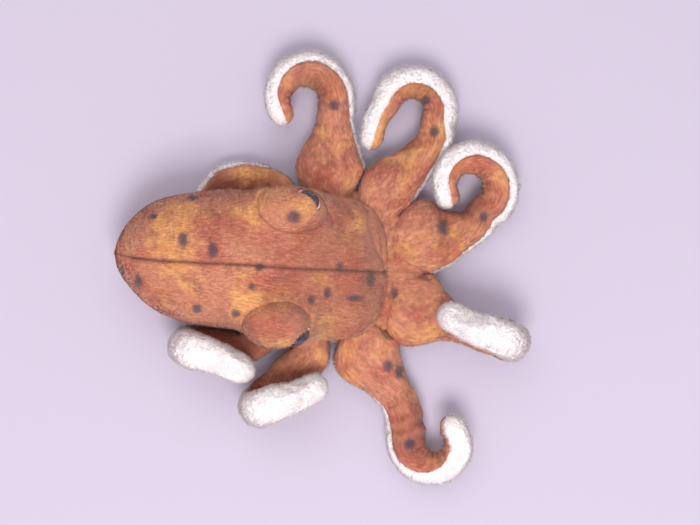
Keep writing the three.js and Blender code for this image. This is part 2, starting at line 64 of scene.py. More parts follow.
# The plan that the arms are laid out from, in millimetres.
HUB = (8.0, 3.0)  # the crown's middle, seen from above, before BODY_SHIFT
HUB_REACH, HUB_SPAN = 28.0, 38.0  # half its length and half its width
ROOT_GAP = 2.6  # from the crown to an arm's root
WEB_RADIUS = 58.0  # from the crown's middle to where neighbouring arms part
HALF_WIDTH, HALF_HEIGHT = 11.4, 10.4  # an arm's, past the web
ROOT_HEIGHT, LOW_ROOT = 10.2, 7.4  # half a root's height, and the same under the mantle
UNDERSIDE = 2.1  # from the ground to a root's underside
WAIST_RUN = 26.0  # how far past the web an arm narrows to its even width
TIP_HALF, BLUNT_HALF = 7.2, 9.0  # half a tip's width, and the same on an arm that folds over
SECTORS = (131.0, 93.0, 55.0, 17.0, -28.5, -70.0, -105.5, 227.0)  # the arms' headings in degrees
SECTOR_SHARE = 0.93  # how much of its sector a root fills
FIRST_TURN, KNEE_TURN = 0.06, 0.85  # the share that the back turns by the web and over the knees
TAPER_START = 0.72  # the share of an arm's length after which it narrows to its tip
MIDDLE_SHARE = 0.47  # how high between its underside and back the body is widest
EYE_FLAT = 2.1  # how deep the eye's flat is cut into a brow

# The mantle's and head's outline from the tip to the collar, in millimetres: place along the toy,
# left and right edges, the back's height and the underside's height.
BODY_OUTLINE: tuple[tuple[float, ...], ...] = (
    (-123, 13, 6, 30, 22), (-117, 27, -8, 43, 9), (-102, 40, -22, 57, 1), (-82, 46, -30.5, 65, 0),
    (-60, 48.5, -34, 67, 0), (-42, 48, -37, 65, 6), (-25, 46, -39, 61, 24), (-6, 46, -42, 57, 24),
    (12, 45, -42, 50, 24), (27, 40, -38, 42, 24), (36, 31, -29, 34.5, 24), (39.5, 20, -18, 30, 26.2),
)
BODY_SHIFT = (-0.7, -0.37)  # from the outline's own axes to the row frame, in millimetres

# The dark spots of the plush, seen from above, in millimetres: place, half length and half width.
SPOTS: tuple[tuple[float, float, float, float], ...] = (
    (-80.5, 17.6, 3.4, 5.2), (-63.1, 11.2, 3.6, 5.4), (-108.1, -7.0, 3.0, 4.8), (-73.3, -22.6, 3.6, 3.2),
    (-118.9, -0.4, 1.8, 3.4), (-76.9, 42.2, 4.2, 2.2), (-16.3, 30.4, 4.6, 4.4), (-50.1, -25.6, 3.2, 2.8),
    (10.7, 2.0, 3.0, 2.8), (-6.1, -17.8, 2.8, 2.8), (3.1, -14.2, 2.6, 4.2), (28.7, -6.4, 3.2, 5.4),
    (43.1, -14.4, 3.0, 4.2), (39.5, -58.0, 3.6, 4.4), (46.1, -61.6, 3.0, 5.0), (7.1, 98.6, 4.4, 3.4),
    (72.5, 25.4, 4.6, 5.2), (97.1, 31.4, 3.2, 3.6), (62.9, 102.2, 3.2, 3.2), (67.7, 83.0, 3.6, 4.2),
    (52.7, -105.4, 3.8, 4.4), (19.0, -17.0, 5.4, 2.4), (-36.1, 1.4, 3.0, 2.6), (-99.0, 31.0, 3.0, 2.0),
    (-40.7, -10.0, 2.6, 2.2), (84.0, 44.0, 3.0, 3.0),
)

# Stretches that are darker and redder, partly the plush's own colour and partly painted shade in folds,
# inside the curls and where the arms pass under the mantle: place, half length, half width and share.
SHADES: tuple[tuple[float, float, float, float, float], ...] = (
    (8.0, -4.0, 40.0, 36.0, 0.5), (-16.0, -16.0, 22.0, 14.0, 0.6), (54.0, -98.0, 15.0, 16.0, 0.85),
    (50.0, -82.0, 12.0, 5.0, 0.5), (-60.0, 54.0, 9.0, 8.0, 0.7), (92.0, 35.0, 14.0, 12.0, 0.55),
    (-2.0, 112.0, 18.0, 9.0, 0.5), (58.0, 106.0, 16.0, 9.0, 0.5), (-52.0, -47.0, 24.0, 16.0, 0.9),
    (-18.0, -68.0, 18.0, 12.0, 0.8), (20.0, 64.0, 10.0, 16.0, 0.35), (60.0, -16.0, 16.0, 16.0, 0.35),
)


class Cloth(Enum):
    """The toy's finishes, by the record's material slots."""

    MOTTLED = "mottled_plush"
    WHITE = "white_plush"
    EYE = "eye_plastic"
    RIM = "rim_felt"


# ---------------------------------------------------------------------------------------------
# Finishes
# ---------------------------------------------------------------------------------------------


class NodeBook:
    """A short way to write a material's node tree.

    Args:
        name: The material's name.
    """

    def __init__(self, name: str) -> None:
        """Starts an empty node material with a Principled shader and its output."""
        self.material = bpy.data.materials.new(name)
        self.material.use_nodes = True
        self.tree = self.material.node_tree
        self.tree.nodes.clear()
        self.shader = self.add("ShaderNodeBsdfPrincipled")
        self.output = self.add("ShaderNodeOutputMaterial")
        self.link(self.shader.outputs[0], self.output.inputs["Surface"])

    def add(self, kind: str, **values: object) -> bpy.types.Node:
        """Adds a node and sets its properties.

        Args:
            kind: The node's type.
            **values: Properties of the node by name.

        Returns:
            The new node.
        """
        node = self.tree.nodes.new(kind)
        for name, value in values.items():
            setattr(node, name, value)
        return node

    def link(self, source: Socket, target: Socket) -> None:
        """Links two sockets."""
        self.tree.links.new(source, target)

    def noise(self, coordinates: Socket, scale: float, detail: float = 2.0) -> Socket:
        """A noise value over coordinates.

        Args:
            coordinates: The vector that the noise is read at.
            scale: Waves per metre.
            detail: Octaves of finer noise.

        Returns:
            The noise's factor.
        """
        node = self.add("ShaderNodeTexNoise")
        node.inputs["Scale"].default_value = scale
        node.inputs["Detail"].default_value = detail
        self.link(coordinates, node.inputs["Vector"])
        return node.outputs["Fac"]

    def stretch(self, coordinates: Socket, scale: tuple[float, float, float]) -> Socket:
        """Scales coordinates along their axes.

        Args:
            coordinates: The vector to scale.
            scale: A factor for each axis.

        Returns:
            The scaled vector.
        """
        node = self.add("ShaderNodeMapping")
        node.inputs["Scale"].default_value = scale
        self.link(coordinates, node.inputs["Vector"])
        return node.outputs["Vector"]

    def ramp(self, value: Socket, low: float, high: float) -> Socket:
        """Maps a value's span low to high onto 0 to 1, smoothly.

        Args:
            value: The value to map.
            low: The value that gives 0.
            high: The value that gives 1.

        Returns:
            The mapped value.
        """
        node = self.add("ShaderNodeMapRange", interpolation_type="SMOOTHSTEP")
        node.inputs["From Min"].default_value = low
        node.inputs["From Max"].default_value = high
        self.link(value, node.inputs["Value"])
        return node.outputs["Result"]

    def mix(
        self,
        share: Socket,
        first: Socket | tuple[float, ...],
        second: Socket | tuple[float, ...],
    ) -> Socket:
        """Mixes two colours.

        Args:
            share: How much of the second colour there is.
            first: A colour, or a socket that gives one.
            second: A colour, or a socket that gives one.

        Returns:
            The mixed colour.
        """
        node = self.add("ShaderNodeMix", data_type="RGBA")
        self.link(share, node.inputs["Factor"])
        for name, colour in (("A", first), ("B", second)):
            socket = next(s for s in node.inputs if s.name == name and s.type == "RGBA")
            if isinstance(colour, tuple):
                socket.default_value = (*colour, 1.0)
            else:
                self.link(colour, socket)
        return next(s for s in node.outputs if s.type == "RGBA")

    def attribute(self, name: str) -> Socket:
        """A number that the piece's mesh holds at each point."""
        return self.add("ShaderNodeAttribute", attribute_name=name).outputs["Fac"]

    def multiply(self, value: Socket, factor: float) -> Socket:
        """A value times a factor."""
        node = self.add("ShaderNodeMath", operation="MULTIPLY")
        node.inputs[1].default_value = factor
        self.link(value, node.inputs[0])
        return node.outputs[0]

    def bump(self, height: Socket, strength: float, distance: float) -> None:
        """Gives the shader a bump.

        Args:
            height: The height, from 0 to 1.
            strength: The bump's strength.
            distance: The bump's depth in metres.
        """
        node = self.add("ShaderNodeBump")
        node.inputs["Strength"].default_value = strength
        node.inputs["Distance"].default_value = distance
        self.link(height, node.inputs["Height"])
        self.link(node.outputs["Normal"], self.shader.inputs["Normal"])


def linear(red: int, green: int, blue: int) -> tuple[float, float, float]:
    """A screen colour from 0 to 255 as linear light."""
    screen = (c / 255 for c in (red, green, blue))
    return tuple(c / 12.92 if c <= 0.04045 else ((c + 0.055) / 1.055) ** 2.4 for c in screen)


@dataclass(frozen=True)
class MottledPlush:
    """Short mottled plush: orange-brown with ochre and red-brown patches, dark spots, painted highlight and
    shade streaks along the nap, and painted shade in folds and curls.

    Attributes:
        base: The main colour.
        ochre: The lighter patches.
        russet: The redder patches.
        shade: The darker brown patches, and the painted shade of the dark streaks along the nap.
        gleam: The paler streaks where the nap catches light.
        umber_and_shade: The darker red-brown of stretches where the plush itself is darker, and the painted
            shade in folds, inside the curls, under the mantle and along the back's seam.
        spot: The soft dark spots.
        sun: What the palest fibres of the pile lean to.
    """

    base: tuple[int, int, int] = (202, 128, 100)
    ochre: tuple[int, int, int] = (232, 166, 96)
    russet: tuple[int, int, int] = (182, 86, 74)
    shade: tuple[int, int, int] = (136, 76, 68)
    gleam: tuple[int, int, int] = (244, 190, 146)
    umber_and_shade: tuple[int, int, int] = (150, 72, 58)
    spot: tuple[int, int, int] = (78, 60, 80)
    sun: tuple[int, int, int] = (250, 186, 128)

    def colour(self, book: NodeBook) -> Socket:
        """Writes the mottled colour.

        Args:
            book: The material's nodes.

        Returns:
            The colour.
        """
        place = book.add("ShaderNodeTexCoord").outputs["Object"]
        nap = book.add("ShaderNodeUVMap", uv_map="nap").outputs["UV"]
        patches = book.ramp(book.noise(place, 44.0, 2.0), 0.46, 0.66)
        reds = book.ramp(book.noise(book.stretch(place, (0.85, 1.15, 1.0)), 54.0, 2.0), 0.44, 0.64)
        browns = book.ramp(book.noise(book.stretch(place, (1.1, 0.85, 1.0)), 82.0, 2.0), 0.52, 0.72)
        colour = book.mix(book.multiply(patches, 0.85), linear(*self.base), linear(*self.ochre))
        colour = book.mix(book.multiply(reds, 0.75), colour, linear(*self.russet))
        colour = book.mix(book.multiply(browns, 0.5), colour, linear(*self.shade))
        light = book.ramp(book.noise(book.stretch(nap, (0.3, 1.0, 1.0)), 780.0, 2.0), 0.45, 0.72)
        colour = book.mix(book.multiply(light, 0.34), colour, linear(*self.gleam))
        # Painted shade: dark streaks along the nap, where its clumps would shade one another.
        dark = book.ramp(book.noise(book.stretch(nap, (0.27, 1.0, 1.0)), 900.0, 2.0), 0.48, 0.7)
        colour = book.mix(book.multiply(dark, 0.42), colour, linear(*self.shade))
        # Where the deep mark is high: the plush's own darker stretches, and painted shade in folds, inside
        # the curls, under the mantle and along the back's seam.
        colour = book.mix(book.multiply(book.attribute("deep"), 0.72), colour, linear(*self.umber_and_shade))
        ragged = book.add("ShaderNodeMath", operation="ADD")
        book.link(book.attribute("spot"), ragged.inputs[0])
        book.link(book.multiply(book.noise(place, 330.0, 3.0), 0.5), ragged.inputs[1])
        spots = book.ramp(ragged.outputs[0], 0.42, 1.22)
        return book.mix(book.multiply(spots, 0.9), colour, linear(*self.spot))

    def cloth(self) -> bpy.types.Material:
        """The cloth under the pile, with a bump of streaks."""
        book = NodeBook("mottled_plush_cloth")
        book.link(self.colour(book), book.shader.inputs["Base Color"])
        book.shader.inputs["Roughness"].default_value = 0.9
        book.shader.inputs["Sheen Weight"].default_value = 0.3
        nap = book.add("ShaderNodeUVMap", uv_map="nap").outputs["UV"]
        book.bump(book.noise(book.stretch(nap, (0.2, 1.0, 1.0)), 900.0, 4.0), 0.6, 0.0006)
        return book.material

    def pile(self) -> bpy.types.Material:
        """The pile's fibres, each a little lighter or darker than its neighbours."""
        book = NodeBook("mottled_plush_pile")
        tone = book.attribute("tone")
        colour = book.mix(book.multiply(tone, 0.16), self.colour(book), linear(*self.sun))
        book.link(colour, book.shader.inputs["Base Color"])
        book.shader.inputs["Roughness"].default_value = 0.75
        book.shader.inputs["Sheen Weight"].default_value = 0.25
        return book.material


@dataclass(frozen=True)
class WhitePlush:
    """Fluffy white plush with a longer pile.

    Attributes:
        base: The cloth's colour.
        shade: The painted shade of the cloth between the tufts.
        dull: The dullest fibres of the pile.
        bright: The whitest fibres.
        glow: How much light passes through the pile.
    """

    base: tuple[int, int, int] = (253, 250, 250)
    shade: tuple[int, int, int] = (244, 232, 234)
    dull: tuple[int, int, int] = (240, 229, 229)
    bright: tuple[int, int, int] = (248, 240, 239)
    glow: float = 0.3

    def cloth(self) -> bpy.types.Material:
        """The cloth under the pile, with tufts as a bump and painted shade between them."""
        book = NodeBook("white_plush_cloth")
        place = book.add("ShaderNodeTexCoord").outputs["Object"]
        # Painted shade: the cloth is darker where the tufts' bump is low.
        tufts = book.ramp(book.noise(place, 330.0, 3.0), 0.35, 0.62)
        book.link(book.mix(tufts, linear(*self.shade), linear(*self.base)), book.shader.inputs["Base Color"])
        book.shader.inputs["Roughness"].default_value = 0.95
        book.shader.inputs["Sheen Weight"].default_value = 0.2
        book.bump(tufts, 0.8, 0.0012)
        return book.material

    def pile(self) -> bpy.types.Material:
        """The pile's fibres, whiter towards some of their tips."""
        book = NodeBook("white_plush_pile")
        colour = book.mix(book.attribute("tone"), linear(*self.dull), linear(*self.bright))
        book.link(colour, book.shader.inputs["Base Color"])
        book.shader.inputs["Roughness"].default_value = 0.85
        book.shader.inputs["Sheen Weight"].default_value = 0.2
        glow = book.add("ShaderNodeBsdfTranslucent")
        book.link(colour, glow.inputs["Color"])
        both = book.add("ShaderNodeMixShader")
        both.inputs[0].default_value = self.glow
        book.link(book.shader.outputs[0], both.inputs[1])
        book.link(glow.outputs[0], both.inputs[2])
        book.link(both.outputs[0], book.output.inputs["Surface"])
        return book.material


@dataclass(frozen=True)
class EyePlastic:
    """Dark blue-black glossy plastic with paler clouds.

    Attributes:
        dark: Its colour.
        cloud: The clouds' colour.
    """

    dark: tuple[int, int, int] = (16, 18, 26)
    cloud: tuple[int, int, int] = (40, 50, 74)

    def build(self) -> bpy.types.Material:
        """The dome's material."""
        book = NodeBook("eye_plastic")
        place = book.add("ShaderNodeTexCoord").outputs["Object"]
        cloud = book.ramp(book.noise(place, 260.0, 2.0), 0.4, 0.7)
        book.link(book.mix(cloud, linear(*self.dark), linear(*self.cloud)), book.shader.inputs["Base Color"])
        book.shader.inputs["Roughness"].default_value = 0.06
        book.shader.inputs["Coat Weight"].default_value = 1.0
        book.shader.inputs["Coat Roughness"].default_value = 0.03
        return book.material


@dataclass(frozen=True)
class RimFelt:
    """Thin pale felt behind an eye.

    Attributes:
        base: Its colour.
        fibre: Its paler fibres.
    """

    base: tuple[int, int, int] = (226, 200, 198)
    fibre: tuple[int, int, int] = (250, 240, 238)

    def build(self) -> bpy.types.Material:
        """The rim's material."""
        book = NodeBook("rim_felt")
        place = book.add("ShaderNodeTexCoord").outputs["Object"]
        fibres = book.noise(place, 1800.0, 3.0)
        colour = book.mix(fibres, linear(*self.base), linear(*self.fibre))
        book.link(colour, book.shader.inputs["Base Color"])
        book.shader.inputs["Roughness"].default_value = 0.95
        book.bump(fibres, 0.4, 0.0003)
        return book.material


# ---------------------------------------------------------------------------------------------
# Modelling helpers
# ---------------------------------------------------------------------------------------------


def smooth(value: np.ndarray | float, low: float, high: float) -> np.ndarray | float:
    """0 below low, 1 above high and a smooth step between."""
    t = np.clip((value - low) / (high - low), 0.0, 1.0)
    return t * t * (3 - 2 * t)


def catmull(table: np.ndarray, at: np.ndarray) -> np.ndarray:
    """Reads a table smoothly between its rows.

    Args:
        table: One row per station.
        at: Fractional station numbers.

    Returns:
        One interpolated row for each entry of at.
    """
    last = len(table) - 1
    i = np.clip(np.floor(at).astype(int), 0, last - 1)
    f = (at - i)[:, None]
    p, q, r, s = (table[np.clip(i + k, 0, last)] for k in (-1, 0, 1, 2))
    m, n = (r - p) / 2, (s - q) / 2
    ease = 3 * f**2 - 2 * f**3
    return q * (1 - ease) + m * (f**3 - 2 * f**2 + f) + r * ease + n * (f**3 - f**2)


def unit(rows: np.ndarray) -> np.ndarray:
    """Rows scaled to length one."""
    return rows / np.maximum(np.linalg.norm(rows, axis=-1, keepdims=True), 1e-12)


def heading(degrees: float) -> np.ndarray:
    """A level direction, from an angle round the toy in degrees."""
    return np.array([math.cos(math.radians(degrees)), math.sin(math.radians(degrees)), 0.0])


def hub_edge(degrees: float) -> float:
    """How far the crown reaches in a direction, in millimetres."""
    way = heading(degrees)
    return 1 / math.hypot(way[0] / HUB_REACH, way[1] / HUB_SPAN)


def points_of(piece: Piece) -> np.ndarray:
    """The places of a mesh's points, one row each."""
    rows = np.empty(len(piece.data.vertices) * 3, np.float32)
    piece.data.vertices.foreach_get("co", rows)
    return rows.reshape(-1, 3).astype(float)


def normals_of(piece: Piece) -> np.ndarray:
    """The normals of a mesh's points, one row each."""
    rows = np.empty(len(piece.data.vertices) * 3, np.float32)
    piece.data.vertices.foreach_get("normal", rows)
    return rows.reshape(-1, 3).astype(float)


def place_points(piece: Piece, rows: np.ndarray) -> None:
    """Moves a mesh's points to new places."""
    piece.data.vertices.foreach_set("co", rows.astype(np.float32).ravel())
    piece.data.update()


def pick(piece: Piece) -> None:
    """Selects one object alone and makes it active."""
    bpy.ops.object.select_all(action="DESELECT")
    piece.hide_set(False)
    piece.select_set(True)
    bpy.context.view_layer.objects.active = piece


def settle(piece: Piece, name: str) -> None:
    """Applies the named modifier of a piece."""
    pick(piece)
    bpy.ops.object.modifier_apply(modifier=name)


def subdivide(piece: Piece, levels: int) -> None:
    """Rounds a piece with an applied Subdivision Surface.

    Args:
        piece: The mesh to round.
        levels: How many times each face is split.
    """
    modifier = piece.modifiers.new("round", "SUBSURF")
    modifier.levels = modifier.render_levels = levels
    settle(piece, "round")


def give_spots(piece: Piece) -> None:
    """Marks on a mesh's points how near they are to a dark spot or to a darker stretch, which is partly the
    plush's own colour and partly painted shade.
    """
    places = points_of(piece)
    near = np.zeros(len(places))
    for x, y, length, width in SPOTS:
        gap = np.hypot((places[:, 0] / MM - x) / length, (places[:, 1] / MM - y) / width)
        near = np.maximum(near, 1.0 - smooth(gap, 0.1, 1.7))
    # The deep mark: the plush's own darker stretches together with painted shade in folds, curls and under
    # the mantle.
    deep = np.zeros(len(places))
    for x, y, length, width, share in SHADES:
        gap = np.hypot((places[:, 0] / MM - x) / length, (places[:, 1] / MM - y) / width)
        deep = np.maximum(deep, share * (1.0 - smooth(gap, 0.35, 1.35)))
    line = Seam(DORSAL, 1.0, 1.0).distance(places)
    # Painted shade along the groove of the back's seam.
    deep = np.maximum(deep, np.exp(-((line / 0.8) ** 2)) * (places[:, 2] > 20 * MM))
    for name, rows in (("spot", near), ("deep", deep)):
        layer = piece.data.attributes.get(name) or piece.data.attributes.new(name, "FLOAT", "POINT")
        layer.data.foreach_set("value", rows.astype(np.float32))


@dataclass
class Loft:
    """A closed tube through rings of points, extruded ring by ring.

    Attributes:
        name: The piece's name.
        rings: One array of points for each ring, from the root to the tip, in metres.
        run: Distance along the tube for each ring, in metres.
        girth: Distance round the tube in metres, for the nap's map.
    """

    name: str
    rings: list[np.ndarray]
    run: np.ndarray
    girth: float

    def build(self) -> Piece:
        """Extrudes the rings, closes both ends and lays the nap's map along the tube."""
        count = len(self.rings[0])
        bpy.ops.object.select_all(action="DESELECT")
        bpy.ops.mesh.primitive_circle_add(vertices=count, radius=0.01, fill_type="NOTHING")
        piece = bpy.context.object
        piece.name = piece.data.name = self.name
        bpy.ops.object.mode_set(mode="EDIT")
        bpy.ops.mesh.select_all(action="SELECT")
        for _ in self.rings[1:]:
            bpy.ops.mesh.extrude_region_move()
        bpy.ops.object.mode_set(mode="OBJECT")
        place_points(piece, np.concatenate(self.rings))
        self.close_end(piece, 0, count)
        self.close_end(piece, (len(self.rings) - 1) * count, count)
        bpy.ops.object.mode_set(mode="EDIT")
        bpy.ops.mesh.select_all(action="SELECT")
        bpy.ops.mesh.normals_make_consistent(inside=False)
        bpy.ops.object.mode_set(mode="OBJECT")
        bpy.ops.object.shade_smooth()
        self.lay_nap(piece, count)
        return piece

    def close_end(self, piece: Piece, first: int, count: int) -> None:
        """Closes one end by extruding its ring into a point.

        Args:
            piece: The tube.
            first: The number of the end ring's first point.
            count: How many points a ring has.
        """
        bpy.ops.object.mode_set(mode="EDIT")
        bpy.ops.mesh.select_mode(type="VERT")
        bpy.ops.mesh.select_all(action="DESELECT")
        bpy.ops.object.mode_set(mode="OBJECT")
        for i in range(first, first + count):
            piece.data.vertices[i].select = True
        bpy.ops.object.mode_set(mode="EDIT")
        bpy.ops.mesh.extrude_region_move()
        bpy.ops.mesh.merge(type="CENTER")
        bpy.ops.object.mode_set(mode="OBJECT")

    def lay_nap(self, piece: Piece, count: int) -> None:
        """Writes the nap's UV map: metres along the tube, and metres round it.

        Args:
            piece: The tube.
            count: How many points a ring has.
        """
        layer = piece.data.uv_layers.get("nap") or piece.data.uv_layers.new(name="nap")
        total = count * len(self.rings)
        for face in piece.data.polygons:
            columns = [v % count if v < total else None for v in face.vertices]
            wraps = 0 in columns and count - 1 in columns
            for corner, v, column in zip(face.loop_indices, face.vertices, columns):
                ring = v // count if v < total else (0 if v == total else len(self.rings) - 1)
                if column is None:
                    known = [c for c in columns if c is not None]
                    column = known[0] + 0.5 if not wraps else count - 0.5
                elif wraps and column == 0:
                    column = count
                layer.data[corner].uv = (self.run[ring], self.girth * column / count)
        while len(piece.data.uv_layers) > 1:
            piece.data.uv_layers.remove(next(u for u in piece.data.uv_layers if u.name != "nap"))


@dataclass(frozen=True)
class Stuffing:
    """How a padded piece is filled: the cloth simulation that swells it.

    Attributes:
        pressure: The filling's pressure.
        cap: The furthest that a point may move, in metres.
        frames: Steps of the simulation.
    """

    pressure: float = 4.0
    cap: float = 0.0025
    frames: int = 20

    def swell(self, piece: Piece, held: np.ndarray) -> float:
        """Swells a closed mesh and applies the result.

        Args:
            piece: The closed mesh.
            held: From 0, free, to 1, held by a seam, for each point.

        Returns:
            The furthest that a point moved, in metres.
        """
        start = points_of(piece)
        group = piece.vertex_groups.new(name="seam")
        for i in np.nonzero(held > 0.01)[0]:
            group.add([int(i)], float(held[i]), "REPLACE")
        modifier = piece.modifiers.new("Cloth", "CLOTH")
        settings = modifier.settings
        settings.quality = 5
        settings.mass = 0.02
        settings.tension_stiffness = settings.compression_stiffness = 12
        settings.shear_stiffness = 5
        settings.bending_stiffness = 0.05
        settings.use_pressure = True
        settings.uniform_pressure_force = self.pressure
        settings.shrink_min = -0.03
        settings.vertex_group_mass = "seam"
        settings.effector_weights.gravity = 0
        modifier.collision_settings.use_collision = False
        modifier.point_cache.frame_start, modifier.point_cache.frame_end = 1, self.frames
        for step in range(1, self.frames + 1):
            bpy.context.scene.frame_set(step)
        settle(piece, "Cloth")
        bpy.context.scene.frame_set(1)
        moved = points_of(piece) - start
        far = np.linalg.norm(moved, axis=1, keepdims=True)
        keep = np.minimum(1.0, self.cap / np.maximum(far, 1e-9))
        place_points(piece, start + moved * keep)
        piece.vertex_groups.clear()
        return float(far.max())


@dataclass(frozen=True)
class Pile:
    """The fibres of a plush, scattered over a piece and laid along its nap.

    Attributes:
        density: Fibres per square millimetre.
        length: Their length in metres.
        width: Their width in metres.
        lay: How far they lie along the nap, from 0, upright, to 1.
        stray: How far their directions differ.
    """

    density: float
    length: float
    width: float
    lay: float
    stray: float

    def grow(self, skin: Piece, name: str, material: bpy.types.Material, seed: int) -> Piece:
        """Grows the fibres as a piece of their own.

        Args:
            skin: The cloth that they stand on.
            name: The new piece's name.
            material: The fibres' finish.
            seed: Fixes the random draws.

        Returns:
            The pile.
        """
        rng = np.random.default_rng(seed)
        mesh = skin.data
        mesh.calc_loop_triangles()
        total = len(mesh.loop_triangles)
        corners = np.empty(total * 3, np.int32)
        loops = np.empty(total * 3, np.int32)
        mesh.loop_triangles.foreach_get("vertices", corners)
        mesh.loop_triangles.foreach_get("loops", loops)
        corners, loops = corners.reshape(-1, 3), loops.reshape(-1, 3)
        uv = np.empty(len(mesh.loops) * 2, np.float32)
        mesh.uv_layers["nap"].data.foreach_get("uv", uv)
        uv = uv.reshape(-1, 2).astype(float)
        places, normals = points_of(skin), normals_of(skin)
        marks = np.zeros((2, len(places)), np.float32)
        mesh.attributes["spot"].data.foreach_get("value", marks[0])
        mesh.attributes["deep"].data.foreach_get("value", marks[1])
        a, b, c = (places[corners[:, k]] for k in range(3))
        cross = np.cross(b - a, c - a)
        area = np.linalg.norm(cross, axis=1) / 2
        count = int(area.sum() / MM**2 * self.density * (1.0))
        chosen = rng.choice(total, count, p=area / area.sum())
        s, t = rng.random(count), rng.random(count)
        flip = s + t > 1
        s[flip], t[flip] = 1 - s[flip], 1 - t[flip]
        weights = np.stack([1 - s - t, s, t], 1)

        def over(rows: np.ndarray, index: np.ndarray) -> np.ndarray:
            """Interpolates corner rows over the chosen triangles."""
            return (rows[index[chosen]] * weights[..., None]).sum(1)

        root, up = over(places, corners), unit(over(normals, corners))
        mark, nap_uv = over(marks.T.astype(float), corners), over(uv, loops)
        du1, du2 = uv[loops[:, 1]] - uv[loops[:, 0]], uv[loops[:, 2]] - uv[loops[:, 0]]
        det = du1[:, 0] * du2[:, 1] - du1[:, 1] * du2[:, 0]
        det = np.where(np.abs(det) < 1e-14, 1e-14, det)[:, None]
        along = ((b - a) * du2[:, 1:] - (c - a) * du1[:, 1:]) / det
        nap = unit(along)[chosen]
        waves = rng.normal(size=(10, 3)) * 900.0
        phases = rng.uniform(0, 2 * math.pi, (10, 3))
        swirl = np.stack([np.sin(root @ waves.T + phases[:, k]).sum(1) for k in range(3)], 1) / 3.2
        drift = swirl * self.stray + rng.normal(size=(count, 3)) * self.stray * 0.6
        lean = unit(up * (1 - self.lay) + nap * self.lay + drift * 0.6)
        lean += up * np.maximum(0.12 - (lean * up).sum(1), 0)[:, None]
        length = self.length * rng.uniform(0.7, 1.2, count)[:, None] * (1 + 0.18 * swirl[:, :1])
        side = unit(np.cross(lean, up) + rng.normal(size=(count, 3)) * 0.35) * self.width / 2
        side *= np.where((np.cross(side, lean) * up).sum(1) < 0, -1.0, 1.0)[:, None]
        droop = unit(lean - up * 0.35)
        middle = root + lean * length * 0.55
        tip = middle + droop * length * 0.45
        base = root - up * ROOT_DEPTH
        blades = np.stack([base - side, base + side, middle + side * 0.8, middle - side * 0.8, tip], 1)
        blades[..., 2] = np.maximum(blades[..., 2], FLOOR_GAP)
        first = np.arange(count)[:, None] * 5
        quads = first + np.array([[0, 1, 2, 3]])
        tips = first + np.array([[3, 2, 4]])
        made = bpy.data.meshes.new(name)
        made.vertices.add(count * 5)
        made.vertices.foreach_set("co", blades.astype(np.float32).ravel())
        made.loops.add(count * 7)
        made.loops.foreach_set("vertex_index", np.concatenate([quads, tips], 1).astype(np.int32).ravel())
        made.polygons.add(count * 2)
        starts = (np.arange(count)[:, None] * 7 + np.array([[0, 4]])).ravel()
        made.polygons.foreach_set("loop_start", starts.astype(np.int32))
        made.polygons.foreach_set("use_smooth", np.ones(count * 2, bool))
        made.update(calc_edges=True)
        piece = bpy.data.objects.new(name, made)
        bpy.context.scene.collection.objects.link(piece)
        nap_map = made.uv_layers.new(name="nap")
        nap_map.data.foreach_set("uv", np.repeat(nap_uv, 7, 0).astype(np.float32).ravel())
        tone = np.clip(rng.normal(0.5, 0.25, count), 0, 1)
        for label, rows in (("spot", mark[:, 0]), ("deep", mark[:, 1]), ("tone", tone)):
            layer = made.attributes.new(label, "FLOAT", "POINT")
            layer.data.foreach_set("value", np.repeat(rows, 5).astype(np.float32))
        soft = unit(up + lean * 0.25 + rng.normal(size=(count, 3)) * 0.22)
        made.normals_split_custom_set_from_vertices(np.repeat(soft, 5, 0).astype(np.float32))
        made.materials.append(material)
        return piece


BROWN_PILE = Pile(density=3.2, length=1.5 * MM, width=0.29 * MM, lay=0.6, stray=0.22)
WHITE_PILE = Pile(density=4.1, length=1.9 * MM, width=0.31 * MM, lay=0.42, stray=0.16)


@dataclass(frozen=True)
class Wardrobe:
    """The finishes that the pieces share."""

    mottled: bpy.types.Material = field(default_factory=lambda: MottledPlush().cloth())
    mottled_pile: bpy.types.Material = field(default_factory=lambda: MottledPlush().pile())
    white: bpy.types.Material = field(default_factory=lambda: WhitePlush().cloth())
    white_pile: bpy.types.Material = field(default_factory=lambda: WhitePlush().pile())
    eye: bpy.types.Material = field(default_factory=lambda: EyePlastic().build())
    rim: bpy.types.Material = field(default_factory=lambda: RimFelt().build())


@dataclass(frozen=True)
class Ride:
    """How a piece rides on the frame: parented to one body, or, where it would bend between two, left in
    place with its transform baked into its mesh.

    Attributes:
        body: The body that it follows, or the body before the bend.
        beyond: The body after the bend, if it bends.
        start: Where the bend starts, in the row frame; not used.
        end: Where the bend ends; not used.
    """

    body: str
    beyond: str | None = None
    start: tuple[float, ...] = (0.0, 0.0, 0.0)
    end: tuple[float, ...] = (0.0, 0.0, 1.0)

    def take(self, piece: Piece) -> None:
        """Parents a piece to its body, or bakes its transform into its mesh where it would bend."""
        if self.beyond:
            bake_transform(piece)
        else:
            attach(piece, self.body)


